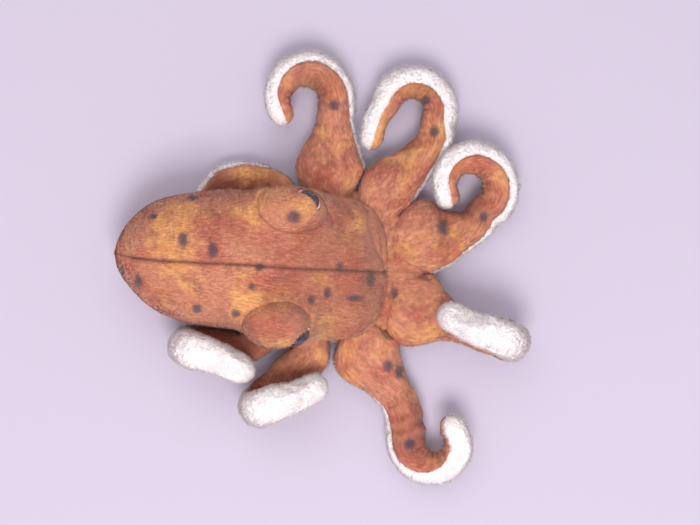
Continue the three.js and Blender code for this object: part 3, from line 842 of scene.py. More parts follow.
@dataclass
class Panel:
    """One sewn panel of plush: its cloth and its pile.

    Attributes:
        skin: The panel's surface, open at its seams.
        name: The piece's name.
        cloth: Which plush it is cut from.
        ride: How it follows the frame.
        stands_for: The CAD nodes that it replaces.
        seed: Fixes the pile's random draws.
    """

    skin: Piece
    name: str
    cloth: Cloth
    ride: Ride
    stands_for: tuple[str, ...]
    seed: int

    def finish(self, wardrobe: Wardrobe) -> None:
        """Grows the pile, gives the cloth its thickness and dresses both.

        Args:
            wardrobe: The shared finishes.
        """
        brown = self.cloth is Cloth.MOTTLED
        self.skin.name = self.skin.data.name = self.name
        give_spots(self.skin)
        self.skin.data.materials.clear()
        self.skin.data.materials.append(wardrobe.mottled if brown else wardrobe.white)
        faces = self.skin.data.polygons
        faces.foreach_set("material_index", np.zeros(len(faces), np.int32))
        kind = BROWN_PILE if brown else WHITE_PILE
        finish = wardrobe.mottled_pile if brown else wardrobe.white_pile
        pile = kind.grow(self.skin, f"{self.name}_pile", finish, self.seed)
        solid = self.skin.modifiers.new("cloth", "SOLIDIFY")
        solid.thickness, solid.offset = CLOTH, -1.0
        settle(self.skin, "cloth")
        pile.visible_shadow = brown
        for piece in (self.skin, pile):
            self.ride.take(piece)
        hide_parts(*self.stands_for)
        cloth, fibres = len(self.skin.data.polygons), len(pile.data.polygons) // 2
        LOG.info("%s: %d faces of cloth, %d fibres", self.name, cloth, fibres)


def cut_by_marks(piece: Piece, names: list[str]) -> dict[str, Piece]:
    """Cuts a mesh into the panels that its faces are marked with.

    Args:
        piece: A mesh whose faces' material numbers are panel numbers.
        names: The panels' names by number.

    Returns:
        The cut panels by name.
    """
    for name in names:
        piece.data.materials.append(bpy.data.materials.new(f"mark_{name}"))
    pick(piece)
    bpy.ops.object.mode_set(mode="EDIT")
    bpy.ops.mesh.select_all(action="SELECT")
    bpy.ops.mesh.separate(type="MATERIAL")
    bpy.ops.object.mode_set(mode="OBJECT")
    cut = {}
    for part in list(bpy.context.selected_objects):
        number = part.data.polygons[0].material_index
        worn = part.data.materials[number] if number < len(part.data.materials) else part.data.materials[0]
        cut[worn.name.removeprefix("mark_").split(".")[0]] = part
    return cut


# ---------------------------------------------------------------------------------------------
# Pressed seams
# ---------------------------------------------------------------------------------------------


@dataclass(frozen=True)
class Seam:
    """A sewn line or a soft fold that pulls the top of a piece inwards.

    Attributes:
        line: Its places from above, in millimetres.
        depth: How deep it pulls, in millimetres.
        width: Half its width, in millimetres.
        taper: How far from its first place it reaches its whole depth, in millimetres.
    """

    line: tuple[tuple[float, float], ...]
    depth: float
    width: float
    taper: float = 3.0

    def distance(self, places: np.ndarray) -> np.ndarray:
        """How far points are from the line, seen from above, in millimetres.

        Args:
            places: Points in metres, one row each.

        Returns:
            A distance for each point.
        """
        flat = places[:, :2] / MM
        near = np.full(len(flat), 1e9)
        for start, end in zip(self.line[:-1], self.line[1:]):
            p, d = np.array(start, float), np.array(end, float) - np.array(start, float)
            t = np.clip(((flat - p) @ d) / max(float(d @ d), 1e-9), 0, 1)[:, None]
            near = np.minimum(near, np.linalg.norm(flat - p - t * d, axis=1))
        return near

    def press(self, piece: Piece) -> None:
        """Pulls the upper side of a piece inwards along the line."""
        places, normals = points_of(piece), normals_of(piece)
        pull = np.exp(-((self.distance(places) / self.width) ** 2)) * smooth(normals[:, 2], 0.0, 0.5)
        from_start = np.linalg.norm(places[:, :2] / MM - np.array(self.line[0]), axis=1)
        pull = pull * smooth(from_start, 0.0, self.taper)
        place_points(piece, places - normals * (pull * self.depth * MM)[:, None])


DORSAL = (
    (-123.0, 9.6), (-111.0, 6.8), (-95.0, 5.0), (-80.5, 4.4), (-56.5, 3.2), (-37.9, 2.6), (-18.7, 0.8),
    (5.9, 0.2), (38.3, -1.6),
)


# ---------------------------------------------------------------------------------------------
# The toy's parts
# ---------------------------------------------------------------------------------------------


@dataclass(frozen=True)
class Curl:
    """The round stretch of an arm: an arc that lies flat, or one that stands upright.

    Attributes:
        centre: Its middle in millimetres, before BODY_SHIFT.
        radii: Its radius at its start and at its end.
        start: The angle that it starts at, in degrees.
        sweep: How far it goes round, in degrees.
        drift: How far its middle moves on the way.
        steps: How many steps it has.
        facing: How far the arm's back turns towards its middle at its start and its end, in degrees.
        upright: The heading that it stands over, if it stands upright.
    """

    centre: tuple[float, float, float]
    radii: tuple[float, float]
    start: float
    sweep: float
    drift: tuple[float, float, float]
    steps: int
    facing: tuple[float, float] = (0.0, 0.0)
    upright: float | None = None

    def stations(self) -> tuple[np.ndarray, np.ndarray, np.ndarray]:
        """Steps round the arc.

        Returns:
            The places, the ways to the middle, and the share of the arc passed at each.
        """
        share = np.arange(self.steps + 1) / self.steps
        angle = np.radians(self.start + self.sweep * share)[:, None]
        along, side = heading(self.upright or 0.0), UP if self.upright else heading(90.0)
        inward = -along * np.cos(angle) - side * np.sin(angle)
        radius = self.radii[0] + (self.radii[1] - self.radii[0]) * share[:, None] ** 3
        return np.array(self.centre) - inward * radius + np.outer(share, self.drift), inward, share


@dataclass
class Arm:
    """One arm: a brown back and a fluffy white underside, stuffed, curled and sewn into the crown.

    Attributes:
        name: The arm's name, as the frame's bodies have it.
        sector: The way from the crown's middle to its root, in degrees.
        web: Half its width at the web, in millimetres.
        tip: Half its width at its tip, in millimetres.
        knees: Places between the web and its curl, in millimetres, before BODY_SHIFT.
        curl: Its round stretch.
        knuckle: The number of curl steps after which its tip bends on its root.
        seed: Fixes its random draws.
        ends: Places after its curl.
        low: Whether its root lies under the mantle.
        wrinkle: The depth of the wrinkles inside its curl, in metres.
        sides: Points round each ring.
        step: Distance between rings, in metres.
        widen: How much wider the root is than the frame's.
        roll: How far its middle and its tip are rolled to show the underside, in degrees.
        folds: Stretches of its back that are gathered into cross folds, in metres along it.
    """

    name: str
    sector: float
    web: float
    tip: float
    knees: tuple[tuple[float, float, float], ...]
    curl: Curl
    knuckle: int
    seed: int
    ends: tuple[tuple[float, float, float], ...] = ()
    low: bool = False
    wrinkle: float = 0.9 * MM
    sides: int = 16
    step: float = 4.6 * MM
    widen: float = 1.22
    roll: tuple[float, float] = (0.0, 0.0)
    folds: tuple[tuple[float, float], ...] = ()

    def path(self) -> np.ndarray:
        """Lays the arm out as the frame has it: its root, knees, curl and ends.

        Returns:
            One row for each station, in millimetres: its place, the way its back faces, half its
            width and half its height.
        """
        hub = np.array([*HUB, UNDERSIDE + (LOW_ROOT if self.low else ROOT_HEIGHT)])
        start = hub_edge(self.sector) + ROOT_GAP
        reaches = (start, (start + WEB_RADIUS) / 2, WEB_RADIUS)
        root = [hub + heading(self.sector) * reach for reach in reaches]
        root[-1] = root[-1] + UP * 0.2
        curled, inward, share = self.curl.stations()
        places = np.array([*root, *self.knees, *curled, *self.ends])
        knees = [KNEE_TURN * (i + 1) / (len(self.knees) + 0.6) for i in range(len(self.knees))]
        turn = np.array([0.0, 0.0, FIRST_TURN, *knees, *np.ones(len(curled) + len(self.ends))])
        pad = (len(root) + len(self.knees), len(self.ends))
        inward = np.pad(inward, (pad, (0, 0)), mode="edge")
        facing = np.interp(np.pad(share, pad, mode="edge"), [0, 1], self.curl.facing)
        roll = np.radians(facing * turn)[:, None]
        back = UP * np.cos(roll) + inward * np.sin(roll)
        if self.curl.upright:
            back = np.where((turn < 1)[:, None], UP, inward)
        ahead = np.vstack([places[1:], places[-1:]])
        along = unit(ahead - np.vstack([places[:1], places[:-1]]))
        back = unit(np.cross(np.cross(along, back), along))
        run = np.concatenate([[0], np.cumsum(np.linalg.norm(np.diff(places, axis=0), axis=1))])
        return np.column_stack([places + [*BODY_SHIFT, 0.0], back, *self.halves(run)])

    def halves(self, run: np.ndarray) -> tuple[np.ndarray, np.ndarray]:
        """Half the arm's width and half its height.

        Args:
            run: The distance along the arm of each station, in millimetres.

        Returns:
            The half widths and the half heights.
        """
        web = run[2]
        taper = smooth(run, run[-1] * TAPER_START, run[-1])
        gap = min(abs((other - self.sector + 180) % 360 - 180) for other in SECTORS if other != self.sector)
        sewn = min(self.web, hub_edge(self.sector) * math.tan(math.radians(gap / 2)) * SECTOR_SHARE)
        root = sewn + (self.web - sewn) * np.minimum(run / web, 1)
        narrow = HALF_WIDTH + (self.tip - HALF_WIDTH) * taper
        width = root + (narrow - root) * smooth(run, web, web + WAIST_RUN)
        low = LOW_ROOT if self.low else ROOT_HEIGHT
        even = HALF_HEIGHT + (self.tip - HALF_HEIGHT) * taper
        return width, low + (even - low) * smooth(run, web * 0.4, web + WAIST_RUN)

    def knuckle_place(self) -> np.ndarray:
        """Where the tip bends on the root, in metres."""
        return self.path()[3 + len(self.knees) + self.knuckle, :3] * MM

    def stations(self) -> tuple[np.ndarray, np.ndarray]:
        """Reads the arm's table evenly along its length.

        Returns:
            The table's rows at even steps, and the distance along the arm of each.
        """
        table = self.path()
        inward = table[0].copy()
        inward[:2] -= (table[1, :2] - table[0, :2]) * 0.8
        inward[6:] *= 0.92
        table = np.vstack([inward, table])
        fine = catmull(table, np.linspace(0, len(table) - 1, 40 * len(table)))
        run = np.concatenate([[0], np.cumsum(np.linalg.norm(np.diff(fine[:, :3], axis=0), axis=1))])
        even = np.linspace(0, run[-1], max(6, round(run[-1] * MM / self.step)))
        rows = np.stack([np.interp(even, run, fine[:, k]) for k in range(8)], 1)
        return rows, even * MM

    def rings(self) -> tuple[list[np.ndarray], np.ndarray]:
        """The cage's rings from the root to the rounded tip.

        Returns:
            The rings, and the distance along the arm of each.
        """
        rows, run = self.stations()
        centre = rows[:, :3] * MM
        along = unit(np.gradient(centre, axis=0))
        across = unit(np.cross(along, rows[:, 3:6]))
        back = unit(np.cross(across, along))
        onward = np.interp(run, [0.05, 0.09, run[-1]], [self.roll[0], self.roll[0], self.roll[1]])
        lean = np.radians(onward * smooth(run, 0.03, 0.07))[:, None]
        cos, sin = np.cos(lean), np.sin(lean)
        across, back = across * cos + back * sin, back * cos - across * sin
        width, height = rows[:, 6] * MM, rows[:, 7] * MM
        width = width * (1 + (self.widen - 1) * (1 - smooth(run, 0.03, 0.06)))
        centre = centre + np.outer(1.2 * MM * (1 - smooth(run, 0.02, 0.06)), (0, 0, 1))
        self.centre, self.along, self.across, self.back, self.run = centre, along, across, back, run
        turn = 2 * math.pi * np.arange(self.sides) / self.sides
        rings = []
        for c, a, b, w, h, s in zip(centre, across, back, width, height, run):
            power = 0.72 + 0.28 * float(smooth(s, 0.03, 0.075))
            cos, sin = (np.sign(f) * np.abs(f) ** power for f in (np.cos(turn), np.sin(turn)))
            rings.append(c + np.outer(cos * w, a) + np.outer(sin * h, b))
        lengths = list(run)
        c, w, h = centre[-1], width[-1], height[-1]
        for phi in (28, 54, 76):
            s, k = math.sin(math.radians(phi)), math.cos(math.radians(phi))
            middle = c + along[-1] * h * s
            aside, over = np.cos(turn) * w * k, np.sin(turn) * h * k
            rings.append(middle + np.outer(aside, across[-1]) + np.outer(over, back[-1]))
            lengths.append(run[-1] + h * s)
        return rings, np.array(lengths)

    def place_along(self, places: np.ndarray) -> tuple[np.ndarray, np.ndarray]:
        """Finds where points stand along the arm.

        Args:
            places: Points in metres.

        Returns:
            The distance along the arm and the nearest ring's number for each point.
        """
        gaps = np.linalg.norm(places[:, None, :] - self.centre[None], axis=2)
        index = gaps.argmin(1)
        offset = ((places - self.centre[index]) * self.along[index]).sum(1)
        return self.run[index] + offset, index

    def crease(self, piece: Piece) -> None:
        """Presses wrinkles into the inside of the curl and a groove along both seams."""
        places, normals = points_of(piece), normals_of(piece)
        s, index = self.place_along(places)
        bend = np.gradient(self.along, axis=0) / np.gradient(self.run)[:, None]
        tight = np.linalg.norm(bend, axis=1)
        inner = np.clip((normals * unit(bend)[index]).sum(1), 0, 1) * smooth(tight[index], 12, 38)
        rng = np.random.default_rng(self.seed)
        phase = rng.uniform(0, 6.28)
        ripple = 0.5 + 0.5 * np.sin(2 * math.pi * s / 0.0068 + phase + 1.1 * np.sin(s / 0.011 + phase))
        lateral = ((places - self.centre[index]) * self.across[index]).sum(1)
        seam = np.abs(((places - self.centre[index]) * self.back[index]).sum(1))
        groove = np.exp(-((seam / (1.3 * MM)) ** 2)) * (np.abs(lateral) > 2 * MM)
        soft = sum(np.sin(places @ rng.normal(size=3) * 230 + rng.uniform(0, 6.28)) for _ in range(4)) / 4
        upper = np.clip((normals * self.back[index]).sum(1) * 1.4, 0, 1)
        cross = 0.5 + 0.5 * np.sin(2 * math.pi * s / 0.0088 + 1.3 * np.sin(lateral / 0.006 + phase) + phase)
        gathered = sum(smooth(s, a, a + 0.008) * (1 - smooth(s, b - 0.008, b)) for a, b in self.folds)
        push = -inner * ripple * self.wrinkle - groove * 0.7 * MM + soft * 0.45 * MM
        push = push - gathered * upper * cross**1.5 * 1.5 * MM
        place_points(piece, places + normals * push[:, None])

    def mark(self, piece: Piece, rings: int) -> None:
        """Marks each face with its panel: back or underside, root or tip.

        Args:
            piece: The cage.
            rings: How many rings it has.
        """
        split = self.split_ring()
        half = self.sides // 2
        total = rings * self.sides
        for face in piece.data.polygons:
            body = [v for v in face.vertices if v < total]
            ring = min(v // self.sides for v in body)
            columns = sorted({v % self.sides for v in body})
            column = self.sides - 1 if columns[0] == 0 and columns[-1] == self.sides - 1 else columns[0]
            face.material_index = (0 if column < half else 2) + (1 if ring >= split else 0)

    def split_ring(self) -> int:
        """The ring where the root's skin ends and the tip's begins."""
        nearest = int(np.linalg.norm(self.centre - self.knuckle_place(), axis=1).argmin())
        return max(3, nearest - round(0.013 / self.step))

    def rides(self) -> tuple[Ride, Ride]:
        """The rides of the arm's root and tip, each a bend between two of the frame's bodies."""
        outward, root, knuckle = heading(self.sector), self.path()[0, :3] * MM, self.knuckle_place()
        travel = UP
        if not self.curl.upright:
            travel = self.along[int(np.linalg.norm(self.centre - knuckle, axis=1).argmin())]
        hip = tuple(root - outward * 4 * MM), tuple(root + outward * 8 * MM)
        bend = tuple(knuckle - travel * 4 * MM), tuple(knuckle + travel * 4 * MM)
        first = Ride("head", f"{self.name}_root", *hip)
        return first, Ride(f"{self.name}_root", f"{self.name}_tip", *bend)

    def build(self, wardrobe: Wardrobe) -> None:
        """Builds the arm's skins, fills and creases them, and dresses them in their pile.

        Args:
            wardrobe: The shared finishes.
        """
        rings, lengths = self.rings()
        cage = Loft(self.name, rings, lengths, 60 * MM).build()
        self.mark(cage, len(rings))
        subdivide(cage, 1)
        lateral = self.seam_hold(cage)
        moved = Stuffing(cap=1.6 * MM).swell(cage, lateral)
        LOG.info("%s swells by up to %.1f mm", self.name, moved / MM)
        subdivide(cage, 1)
        self.crease(cage)
        for seam in COLLAR:
            seam.press(cage)
        self.settle_on_floor(cage)
        cut = cut_by_marks(cage, ["back_root", "back_tip", "under_root", "under_tip"])
        first, second = self.rides()
        jobs = (
            ("back_root", Cloth.MOTTLED, first, ("back_panel", "root_stuffing")),
            ("back_tip", Cloth.MOTTLED, second, ()),
            ("under_root", Cloth.WHITE, first, ("under_panel",)),
            ("under_tip", Cloth.WHITE, second, ("tip_stuffing",)),
        )
        for number, (key, cloth, ride, nodes) in enumerate(jobs):
            Panel(
                cut[key], f"{self.name}_{key}_skin", cloth, ride,
                tuple(f"{self.name}_{node}" for node in nodes), self.seed * 10 + number,
            ).finish(wardrobe)

    def seam_hold(self, piece: Piece) -> np.ndarray:
        """How firmly the seams and the root hold each point against the filling."""
        places = points_of(piece)
        s, index = self.place_along(places)
        seam = np.abs(((places - self.centre[index]) * self.back[index]).sum(1))
        hold = np.exp(-((seam / (1.8 * MM)) ** 2)) * 0.9
        return np.maximum(hold, 1 - smooth(s, 0.004, 0.012))

    def settle_on_floor(self, piece: Piece) -> None:
        """Flattens what would sink under the floor."""
        places = points_of(piece)
        sunk = places[:, 2] < GROUND
        places[sunk, 2] = GROUND - (GROUND - places[sunk, 2]) * 0.12
        place_points(piece, places)


@dataclass
class Body:
    """The mantle and head: two brown side panels that meet along the back, a belly and a throat.

    Attributes:
        columns: Points round each ring.
        step: Distance between rings, in metres.
        neck: Where the mantle starts to bend on the head, in metres.
        bend: How far the bend runs, in metres.
    """

    columns: int = 40
    step: float = 4.6 * MM
    neck: float = -0.034
    bend: float = 0.016

    def outline(self) -> np.ndarray:
        """The outline's rows at even steps along the toy."""
        table = np.array(BODY_OUTLINE, float)
        fine = catmull(table, np.linspace(0, len(table) - 1, 60 * len(table)))
        order = np.argsort(fine[:, 0])
        fine = fine[order]
        even = np.linspace(-115.0, fine[-1, 0], round((fine[-1, 0] + 115.0) * MM / self.step) + 1)
        even = np.concatenate([[-123.3, -122.6, -121.2, -118.6], even])
        rows = np.stack([np.interp(even, fine[:, 0], fine[:, k]) for k in range(5)], 1)
        rows[:, 0] = even
        for row in rows[:4]:
            share = math.sqrt((row[0] + 123.6) / 8.6)
            for low, high in ((2, 1), (4, 3)):
                middle = (rows[4, low] + rows[4, high]) / 2 * share + (9.5, 26)[low == 4] * (1 - share)
                half = (rows[4, high] - rows[4, low]) / 2 * share
                row[low], row[high] = middle - half, middle + half
        front = smooth(rows[:, 0], 8.0, 40.0)
        rows[:, 3] += (25.5 - rows[:, 3]) * smooth(rows[:, 0], 24.0, 41.0) * 0.75
        rows[:, 4] += (21.0 - rows[:, 4]) * front
        return rows

    def ring(self, row: np.ndarray) -> np.ndarray:
        """One ring of the cage.

        Args:
            row: A row of the outline.

        Returns:
            The ring's points, with the back's seam at a quarter of the way round.
        """
        x, left, right, top, bottom = row
        bottom = max(bottom, 0.0)
        middle = bottom + (top - bottom) * MIDDLE_SHARE * (1 - float(smooth(x, -14.0, 14.0)) * 0.85)
        centre, half = (left + right) / 2, max(left - right, 0.4) / 2
        seam_y = float(np.interp(x + BODY_SHIFT[0], *zip(*DORSAL))) - BODY_SHIFT[1]
        seam = math.degrees(math.acos(max(-0.5, min(0.5, (seam_y - centre) / half))))
        quarter = self.columns / 4
        low = self.columns * 0.65
        high = self.columns * 0.85 - self.columns
        marks = [high, quarter, low, high + self.columns]
        turn = np.radians(np.interp(np.arange(self.columns), marks, [-54, seam, 234, 306]))
        y = centre + half * np.cos(turn)
        rise = np.sin(turn)
        under = np.maximum(1.12 * rise, -1) * (middle - bottom)
        z = middle + np.where(rise > 0, (top - middle) * rise, under)
        return np.stack([np.full(self.columns, x) + BODY_SHIFT[0], y + BODY_SHIFT[1], z], 1) * MM

    def build(self, wardrobe: Wardrobe) -> None:
        """Builds the panels of the mantle and head.

        Args:
            wardrobe: The shared finishes.
        """
        rows = self.outline()
        rings = [self.ring(row) for row in rows]
        heart = rings[0].mean(0)
        for share, ahead in ((0.6, 0.25), (0.3, 0.35)):
            rings.insert(0, heart + (self.ring(rows[0]) - heart) * share - np.array([ahead * MM, 0, 0]))
        run = np.array([ring[:, 0].mean() for ring in rings])
        cage = Loft("mantle", rings, run - run[0], 250 * MM).build()
        self.mark(cage, len(rings))
        subdivide(cage, 1)
        moved = Stuffing(cap=2.2 * MM).swell(cage, self.hold(cage))
        LOG.info("mantle swells by up to %.1f mm", moved / MM)
        subdivide(cage, 1)
        for seam in BODY_SEAMS:
            seam.press(cage)
        self.dimple(cage)
        for brow in brows():
            self.rise_to(cage, brow)
        cut = cut_by_marks(cage, ["left", "right", "belly", "throat"])
        ride = Ride("head", "mantle", (self.neck, 0.0, 0.03), (self.neck - self.bend, 0.0, 0.03))
        jobs = (
            ("left", Cloth.MOTTLED, ("mantle_left_panel", "mantle_stuffing")),
            ("right", Cloth.MOTTLED, ("mantle_right_panel", "head_stuffing")),
            ("belly", Cloth.WHITE, ("belly_panel",)),
            ("throat", Cloth.WHITE, ("throat_panel",)),
        )
        for number, (key, cloth, nodes) in enumerate(jobs):
            Panel(cut[key], f"body_{key}_skin", cloth, ride, nodes, 900 + number).finish(wardrobe)

    def mark(self, piece: Piece, rings: int) -> None:
        """Marks each face with its panel.

        Args:
            piece: The cage.
            rings: How many rings it has.
        """
        quarter, low, high = self.columns // 4, round(self.columns * 0.65), round(self.columns * 0.85)
        total = rings * self.columns
        for face in piece.data.polygons:
            body = [v for v in face.vertices if v < total]
            columns = sorted({v % self.columns for v in body})
            column = columns[0]
            if columns[0] == 0 and columns[-1] == self.columns - 1:
                column = self.columns - 1
            x = float(np.mean([piece.data.vertices[v].co.x for v in body]))
            if low <= column < high:
                face.material_index = 2 if x < -0.042 else 3
            elif quarter <= column < low:
                face.material_index = 1
            else:
                face.material_index = 0

    def hold(self, piece: Piece) -> np.ndarray:
        """How firmly the seams and the crown hold each point against the filling."""
        places = points_of(piece)
        dorsal = Seam(DORSAL, 1.0, 2.0).distance(places)
        hold = np.exp(-((dorsal / 2.5) ** 2)) * 0.9 * (places[:, 2] > 0.02)
        hold = np.maximum(hold, 1 - smooth(places[:, 0], -0.121, -0.112))
        return np.maximum(hold, smooth(places[:, 0], 0.03, 0.04))

    def rise_to(self, piece: Piece, brow: "Brow") -> None:
        """Raises the skin softly towards the foot of a brow.

        Args:
            piece: The body's skin.
            brow: The brow.
        """
        places, normals = points_of(piece), normals_of(piece)
        half = np.array(brow.half)
        gap = np.abs(np.linalg.norm((places - brow.centre) / half, axis=1) - 1) * 17 * MM
        near = np.maximum(13 * MM - gap, 0) ** 2 / (44 * MM) * smooth(normals[:, 2], -0.1, 0.3)
        place_points(piece, places + normals * near[:, None])

    def dimple(self, piece: Piece) -> None:
        """Adds the soft unevenness of a stuffed skin."""
        rng = np.random.default_rng(31)
        places, normals = points_of(piece), normals_of(piece)
        soft = sum(np.sin(places @ rng.normal(size=3) * 120 + rng.uniform(0, 6.28)) for _ in range(6)) / 6
        place_points(piece, places + normals * (soft * 0.8 * MM)[:, None])


BODY_SEAMS = (
    Seam(DORSAL, 1.7, 1.0, 16.0),
    Seam(DORSAL, 0.8, 4.5, 24.0),
    Seam(((25.0, 42.0), (27.5, 36.2), (29.9, 23.6), (32.9, 11.0), (37.5, 4.4), (38.3, -2.0)), 1.6, 1.3),
    Seam(((34.1, 26.6), (35.9, 14.0), (37.1, 4.0)), 1.2, 1.3),
    Seam(((-0.1, 38.0), (2.5, 33.0), (5.3, 26.0)), 1.8, 1.4),
    Seam(((-7.9, -23.8), (-10.5, -30.0), (-11.5, -36.0)), 1.8, 1.4),
    Seam(((-4.9, -20.8), (4.1, -22.0), (14.9, -29.2)), 0.9, 1.6),
    Seam(((37.1, -8.0), (36.5, -20.0), (34.9, -30.0), (25.1, -38.4)), 1.4, 1.4),
)
COLLAR = (
    Seam(((41.3, 31.4), (43.1, 20.6), (45.5, 2.0)), 1.5, 1.5),
    Seam(((45.5, 2.0), (43.1, -11.2), (36.5, -33.4)), 1.6, 1.5),
    Seam(((38.3, 4.0), (38.3, -6.0), (37.1, -16.6), (35.9, -30.0)), 1.2, 1.2),
    Seam(((37.1, 36.2), (46.0, 40.0), (55.7, 41.6)), 2.2, 2.0),
    Seam(((46.7, 1.4), (56.0, -1.0), (64.7, -5.2)), 2.2, 2.0),
)


@dataclass
class Brow:
    """A padded bulge above an eye, with the eye's dome and its felt rim.

    Attributes:
        side: Which side of the head it is on.
        station: Which row of the outline its middle stands at, with a fraction.
        turn: How far round the head its middle is, in degrees.
        depth: How deep its middle is under the head's surface, in millimetres.
        half: Half its length, width and height, in metres.
        look: The way in which the eye looks.
        seed: Fixes its random draws.
        lid: How far the bulge hangs over the top of the eye.
    """

    side: str
    station: float
    turn: float
    depth: float
    half: tuple[float, float, float]
    look: tuple[float, float, float]
    seed: int
    lid: float

    @property
    def centre(self) -> np.ndarray:
        """Its middle in the row frame, in metres."""
        row = catmull(np.array(BODY_OUTLINE, float), np.array([self.station]))[0]
        x, left, right, top, bottom = row + [0, -self.depth, self.depth, -self.depth, self.depth]
        middle = bottom + (top - bottom) * MIDDLE_SHARE
        way = heading(self.turn)
        y = (left + right) / 2 + (left - right) / 2 * way[0]
        return np.array([x + BODY_SHIFT[0], y + BODY_SHIFT[1], middle + (top - middle) * way[1]]) * MM

    @property
    def seat(self) -> np.ndarray:
        """The middle of the flat that the eye sits on, in metres."""
        look, half = unit(np.array(self.look)), np.array(self.half)
        return self.centre + half**2 * look / np.linalg.norm(half * look) - look * EYE_FLAT * MM

    def build(self, wardrobe: Wardrobe) -> None:
        """Builds the bulge, the eye and the rim.

        Args:
            wardrobe: The shared finishes.
        """
        self.build_bulge(wardrobe)
        self.build_eye(wardrobe)
        self.build_rim(wardrobe)

    def build_bulge(self, wardrobe: Wardrobe) -> None:
        """Rounds a subdivided block into the bulge and presses the eye's seat into it."""
        bpy.ops.object.select_all(action="DESELECT")
        bpy.ops.mesh.primitive_cube_add(size=2.0)
        piece = bpy.context.object
        bpy.ops.object.mode_set(mode="EDIT")
        bpy.ops.mesh.select_all(action="SELECT")
        bpy.ops.mesh.subdivide(number_cuts=11)
        bpy.ops.object.mode_set(mode="OBJECT")
        ball = unit(points_of(piece))
        places = self.centre + ball * np.array(self.half)
        place_points(piece, places)
        bpy.ops.object.shade_smooth()
        look = unit(np.array(self.look))
        Stuffing(pressure=3.0, cap=0.8 * MM).swell(piece, smooth(0.03 - places[:, 2], 0.0, 0.01))
        subdivide(piece, 1)
        places, normals = points_of(piece), normals_of(piece)
        past = (places - self.seat) @ look
        aside = np.linalg.norm(places - self.seat - past[:, None] * look, axis=1)
        dent = np.exp(-((aside / 0.0084) ** 6)) * (past > -0.01)
        lid = smooth(places[:, 2] - self.seat[2], 1.2 * MM, 3.8 * MM) * np.exp(-((aside / 0.011) ** 4))
        places -= look * (np.maximum(past + 0.0008, 0) * dent * (1 - lid))[:, None]
        places += look * (lid * self.lid)[:, None]
        rng = np.random.default_rng(self.seed)
        soft = sum(np.sin(places @ rng.normal(size=3) * 190 + rng.uniform(0, 6.28)) for _ in range(5)) / 5
        places += normals * (soft * 0.6 * MM)[:, None]
        place_points(piece, places)
        self.lay_nap(piece)
        Panel(
            piece, f"{self.side}_brow_skin", Cloth.MOTTLED, Ride("head"),
            (f"{self.side}_brow_panel", f"{self.side}_brow_stuffing", f"{self.side}_eye_washer"), self.seed,
        ).finish(wardrobe)

    def lay_nap(self, piece: Piece) -> None:
        """Lays the nap's map along the toy and round the bulge."""
        for old in list(piece.data.uv_layers):
            piece.data.uv_layers.remove(old)
        layer = piece.data.uv_layers.new(name="nap")
        places = points_of(piece) - self.centre
        angle = np.arctan2(places[:, 1], places[:, 2])
        loops = np.empty(len(piece.data.loops), np.int32)
        piece.data.loops.foreach_get("vertex_index", loops)
        uv = np.stack([places[loops, 0], angle[loops] * self.half[2]], 1)
        layer.data.foreach_set("uv", uv.astype(np.float32).ravel())

    def turned(self, piece: Piece, centre: np.ndarray) -> None:
        """Turns a piece modelled round +Z so that it looks out of the bulge.

        Args:
            piece: The piece, at the origin.
            centre: Where its origin goes.
        """
        turn = Vector((0, 0, 1)).rotation_difference(Vector(self.look).normalized()).to_matrix()
        place_points(piece, points_of(piece) @ np.array(turn).T + centre)

    def build_eye(self, wardrobe: Wardrobe) -> None:
        """Cuts a ball to a low dome with a rolled edge."""
        bpy.ops.object.select_all(action="DESELECT")
        bpy.ops.mesh.primitive_uv_sphere_add(segments=56, ring_count=36, radius=EYE_RADIUS)
        piece = bpy.context.object
        bpy.ops.object.mode_set(mode="EDIT")
        bpy.ops.mesh.select_all(action="SELECT")
        bpy.ops.mesh.bisect(plane_co=(0, 0, 0.00005), plane_no=(0, 0, 1), clear_inner=True, use_fill=True)
        bpy.ops.mesh.select_all(action="SELECT")
        bpy.ops.mesh.normals_make_consistent(inside=False)
        bpy.ops.object.mode_set(mode="OBJECT")
        places = points_of(piece)
        places[:, 2] *= EYE_DOME / EYE_RADIUS
        place_points(piece, places)
        self.turned(piece, self.seat + unit(np.array(self.look)) * 0.5 * MM)
        pick(piece)
        bpy.ops.object.shade_smooth_by_angle(angle=math.radians(40))
        self.dress(piece, f"{self.side}_eye_dome", wardrobe.eye, (f"{self.side}_eye",))

    def build_rim(self, wardrobe: Wardrobe) -> None:
        """Flattens a ring into the felt under the dome and roughens its cut edge."""
        bpy.ops.object.select_all(action="DESELECT")
        bpy.ops.mesh.primitive_torus_add(
            major_segments=72, minor_segments=16, major_radius=RIM_RADIUS, minor_radius=RIM_HALF
        )
        piece = bpy.context.object
        places = points_of(piece)
        angle = np.arctan2(places[:, 1], places[:, 0])
        rough = 1 + 0.02 * np.sin(angle * 23 + 1.0) + 0.015 * np.sin(angle * 41)
        places[:, :2] *= rough[:, None]
        places[:, 2] *= 0.6
        place_points(piece, places)
        self.turned(piece, self.seat + unit(np.array(self.look)) * 0.5 * MM)
        pick(piece)
        bpy.ops.object.shade_smooth()
        self.dress(piece, f"{self.side}_eye_felt", wardrobe.rim, (f"{self.side}_eye_rim",))

    def dress(
        self, piece: Piece, name: str, material: bpy.types.Material, nodes: tuple[str, ...]
    ) -> None:
        """Names a hard piece, gives it its finish and puts it on the head.

        Args:
            piece: The piece.
            name: Its name.
            material: Its finish.
            nodes: The CAD nodes that it replaces.
        """
        piece.name = piece.data.name = name
        piece.data.materials.clear()
        piece.data.materials.append(material)
        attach(piece, "head")
        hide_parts(*nodes)
        LOG.info("%s: %d faces", name, len(piece.data.polygons))


